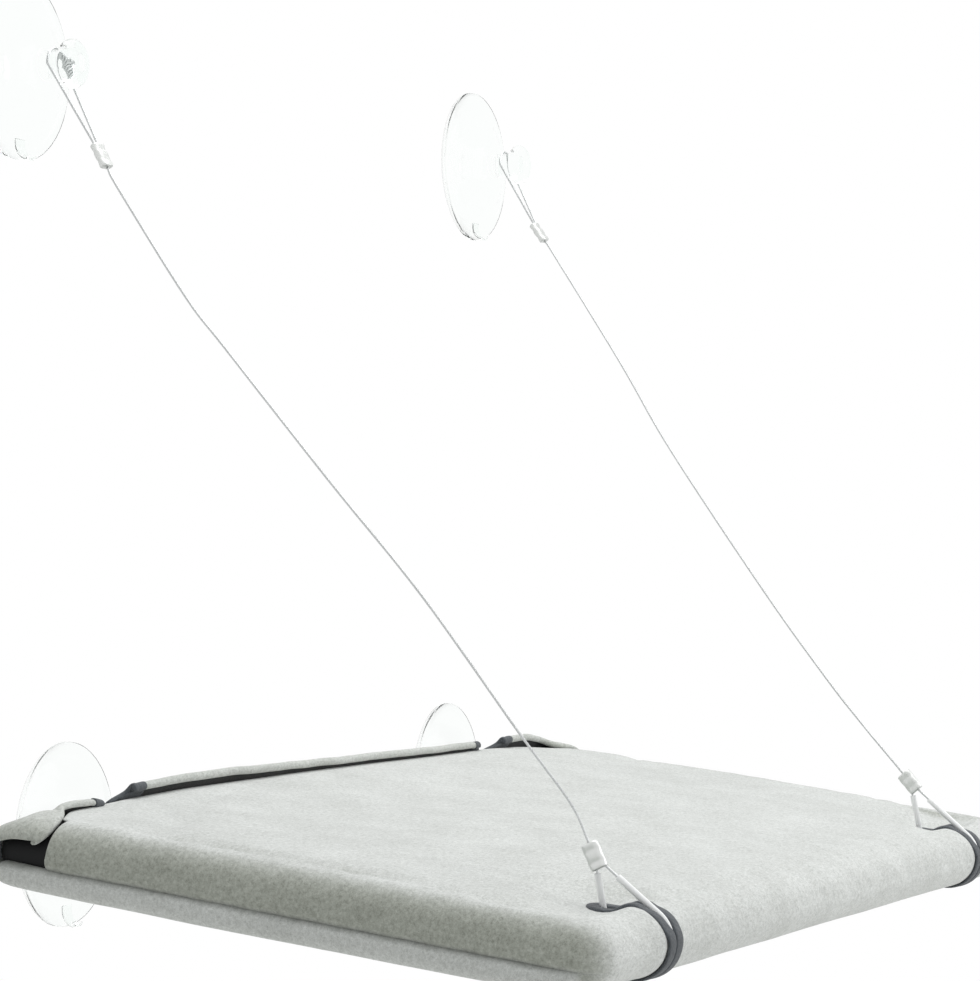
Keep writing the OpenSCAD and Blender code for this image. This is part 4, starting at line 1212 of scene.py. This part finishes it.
def slitPath(middle):
    # the tapes stand apart where the eye's legs come out and close over the sleeve in front and below
    wide = tape["open"] + tape["slitWidth"] / 2
    shut = tape["slitWidth"] / 2 + tape["shutPlay"]
    centre = slitTip + wide + tape["tip"]
    skin = perch["edgeR"] + perch["fleece"] / 2
    over = perch["tubeR"] + tape["sleeveTop"] + tape["clear"]
    front = perch["reach"]

    def wrap(side, turn):  # round the front tube: angle above the front
        c, a = ease((36 - turn) / 26), math.radians(turn)
        r = mix(skin, over, c) + 0.5 * ease((turn - 40) / 50)
        x, d, h = middle + side * mix(wide, shut, c), front + r * math.cos(a), r * math.sin(a)
        return (Vector((x, d, h - sink(x, d, h))), Vector((0, math.cos(a), math.sin(a))),
                mix(1, tape["shutThick"], c))

    def top(x, d):
        h, proud = topHeight(x, d), ease((front + 4 - d) / 8)
        return (Vector((x, d, h - sink(x, d, h) + perch["fleece"] / 2 + 0.5 * proud)), Vector((0, 0, 1)),
                1 + 0.3 * proud)

    def under(x, d):
        c = ease((d - front + 22) / 20)
        x = middle + (x - middle) * mix(1, shut / wide, c)
        return (Vector((x, d, mix(underHeight(x, d) - perch["fleece"] / 2, -over, c))), Vector((0, 0, -1)),
                mix(1, tape["shutThick"], c))

    def tipTurn(way, degrees):
        a = math.radians(degrees)
        return way(middle + wide * math.cos(a), centre - wide * math.sin(a))
    outward, inward = spread([centre, front], tape["step"]), spread([front, centre], tape["step"])
    return ([tipTurn(top, a) for a in range(180, -1, -20)] + [top(middle + wide, d) for d in outward[1:]]
            + [wrap(1, 90 - 9 * k) for k in range(1, 20)] + [under(middle + wide, d) for d in inward]
            + [tipTurn(under, a) for a in range(20, 161, 20)] + [under(middle - wide, d) for d in outward]
            + [wrap(-1, 9 * k - 90) for k in range(1, 20)] + [top(middle - wide, d) for d in inward[:-1]])


def bindSlit(name, middle):
    spots = [(p + out * noise.noise(p / tape["grain"]) * tape["uneven"], out, share)
             for p, out, share in slitPath(middle)]
    bm = bmesh.new()
    sweepOn(bm, spots, tapeSection(tape["slitWidth"], tape["slitThick"]), closed=True)
    bmesh.ops.recalc_face_normals(bm, faces=bm.faces)
    finish("slitBinding_" + name, bm, bindingTape, "perch", ["slit_binding_" + name], "binding_tape",
           [subdivided])


def bindGap(name, middle):  # down one edge of the flap's gap, under the cup's neck and up the other
    edge = flap["gapHalf"] + tape["width"] / 2
    bm = bmesh.new()

    def onEdge(side, k, inward=0):
        out = flapNormal(middle + side, k)
        return flapMid(middle + side, k) - out * inward, out, 1
    ks = range(2, len(section) - 5)
    spots = [onEdge(-edge, k) for k in reversed(ks)]
    for k in range(1, 8):
        a = math.radians(180 - 180 * k / 8)
        low = math.radians(flap["start"] + 15.3 - 9 * math.sin(a))
        out = Vector((0, -math.cos(low), math.sin(low)))
        spots.append((Vector((middle + edge * math.cos(a), 0, 0)) + out * wrapMid, out, 1))
    spots += [onEdge(edge, k) for k in ks]
    sweepOn(bm, spots, tapeSection(tape["gapWidth"], tape["gapThick"]))
    for end in (-1, 1):  # the tape's wide inner face beside each bound end
        ks = [webFrom + tape["faceFrom"] + 0.5 * step for step in range(8)]
        spots = [onEdge(end * (edge + tape["face"] / 2), k, tape["faceIn"]) for k in ks]
        sweepOn(bm, spots, tapeSection(tape["face"], tape["faceThick"]))
    for end in (-1, 1):  # a cap over each hem's end
        rim = middle + end * (flap["gapHalf"] - 0.2)
        inner = rim + end * (tape["width"] + tape["cap"])
        steps, hemKs = tape["capSteps"], range(hemFrom, len(section))
        centres = [sum((flapMid(mix(rim, inner, k / steps), n) for n in hemKs), Vector()) / len(hemKs)
                   for k in range(steps + 1)]

        def capPoint(i, j):
            bulge = math.sqrt(max(0, 1 - (max(0, 0.5 - i / steps) / 0.5) ** 2.4))
            r = (flap["hemR"] + perch["fleece"] / 2 + tape["capPlay"]) * max(bulge, 0.05)
            a = 2 * math.pi * (j % tape["capSides"]) / tape["capSides"]
            return onPerch(*(centres[i] + Vector((0, r * math.cos(a), r * math.sin(a)))))
        closeEnds(bm, gridPatch(bm, steps, tape["capSides"], capPoint, looped=True))
    bmesh.ops.recalc_face_normals(bm, faces=bm.faces)
    finish("flapBinding_" + name, bm, bindingTape, "perch", ["flap_binding_" + name], "binding_tape",
           [subdivided])


for side, label in ((-1, "left"), (1, "right")):
    bindSlit(label, side * perch["slitX"])
    bindGap(label, side * perch["lowerCupX"])
print("bindings made")

# floor, world and light
studio = {"floorSize": 6, "floorDrop": 0.6, "floor": "#F2F2F0", "world": "#F3F5F6", "worldPower": 0.64}
lamps = {"overhead": {"place": (0.1, -0.3, 1.6), "aim": (0, -0.15, 0), "size": 1.6, "power": 20},
         "front": {"place": (0.9, -1.8, 0.5), "aim": (0.1, -0.2, 0), "size": 1.2, "power": 11}}


def whiteWhenSeen(tree, plain, glow, output):  # white to the camera, also through glass; plain to the light
    ray = addNode(tree, "LightPath")
    white = addNode(tree, glow, inputs={"Color": (1, 1, 1, 1), "Strength": 1})
    direct = addNode(tree, "Math", {"operation": "MAXIMUM"},
                     links={0: ray.outputs["Is Camera Ray"], 1: ray.outputs["Is Glossy Ray"]})
    seen = addNode(tree, "Math", {"operation": "MAXIMUM"},
                   links={0: direct, 1: ray.outputs["Is Transmission Ray"]})
    either = addNode(tree, "MixShader", links={0: seen, 1: plain, 2: white})
    tree.links.new(either.outputs[0], tree.nodes[output].inputs["Surface"])


floorMaterial, tree, shader = newMaterial("plainFloor", studio["floor"], Roughness=0.9)
whiteWhenSeen(tree, shader, "Emission", "Material Output")
bm = bmesh.new()
bmesh.ops.create_grid(bm, x_segments=1, y_segments=1, size=studio["floorSize"])
bmesh.ops.translate(bm, verts=bm.verts, vec=(0, 0, -studio["floorDrop"]))
floorMesh = bpy.data.meshes.new("floor")
bm.to_mesh(floorMesh)
bm.free()
floorMesh.materials.append(floorMaterial)
floorPiece = bpy.data.objects.new("floor", floorMesh)
bpy.context.scene.collection.objects.link(floorPiece)
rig.stage(floorPiece)

world = bpy.data.worlds.new("studio")
bpy.context.scene.world = world
world.use_nodes = True
backdrop = world.node_tree.nodes["Background"]
backdrop.inputs["Color"].default_value = hexColor(studio["world"])
backdrop.inputs["Strength"].default_value = studio["worldPower"]
whiteWhenSeen(world.node_tree, backdrop, "Background", "World Output")

for name, spec in lamps.items():
    data = bpy.data.lights.new(name, "AREA")
    data.size = spec["size"]
    data.energy = spec["power"]
    lamp = bpy.data.objects.new(name, data)
    bpy.context.scene.collection.objects.link(lamp)
    lamp.location = spec["place"]
    lamp.rotation_euler = (Vector(spec["aim"]) - Vector(spec["place"])).to_track_quat("-Z", "Y").to_euler()
bpy.context.scene.view_settings.view_transform = "Standard"
print("stage lit")

sizes = {"cad": [list(v) for v in cadBounds], "visual": [list(v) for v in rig.bounds()]}
json.dump(sizes, open("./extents.json", "w"))
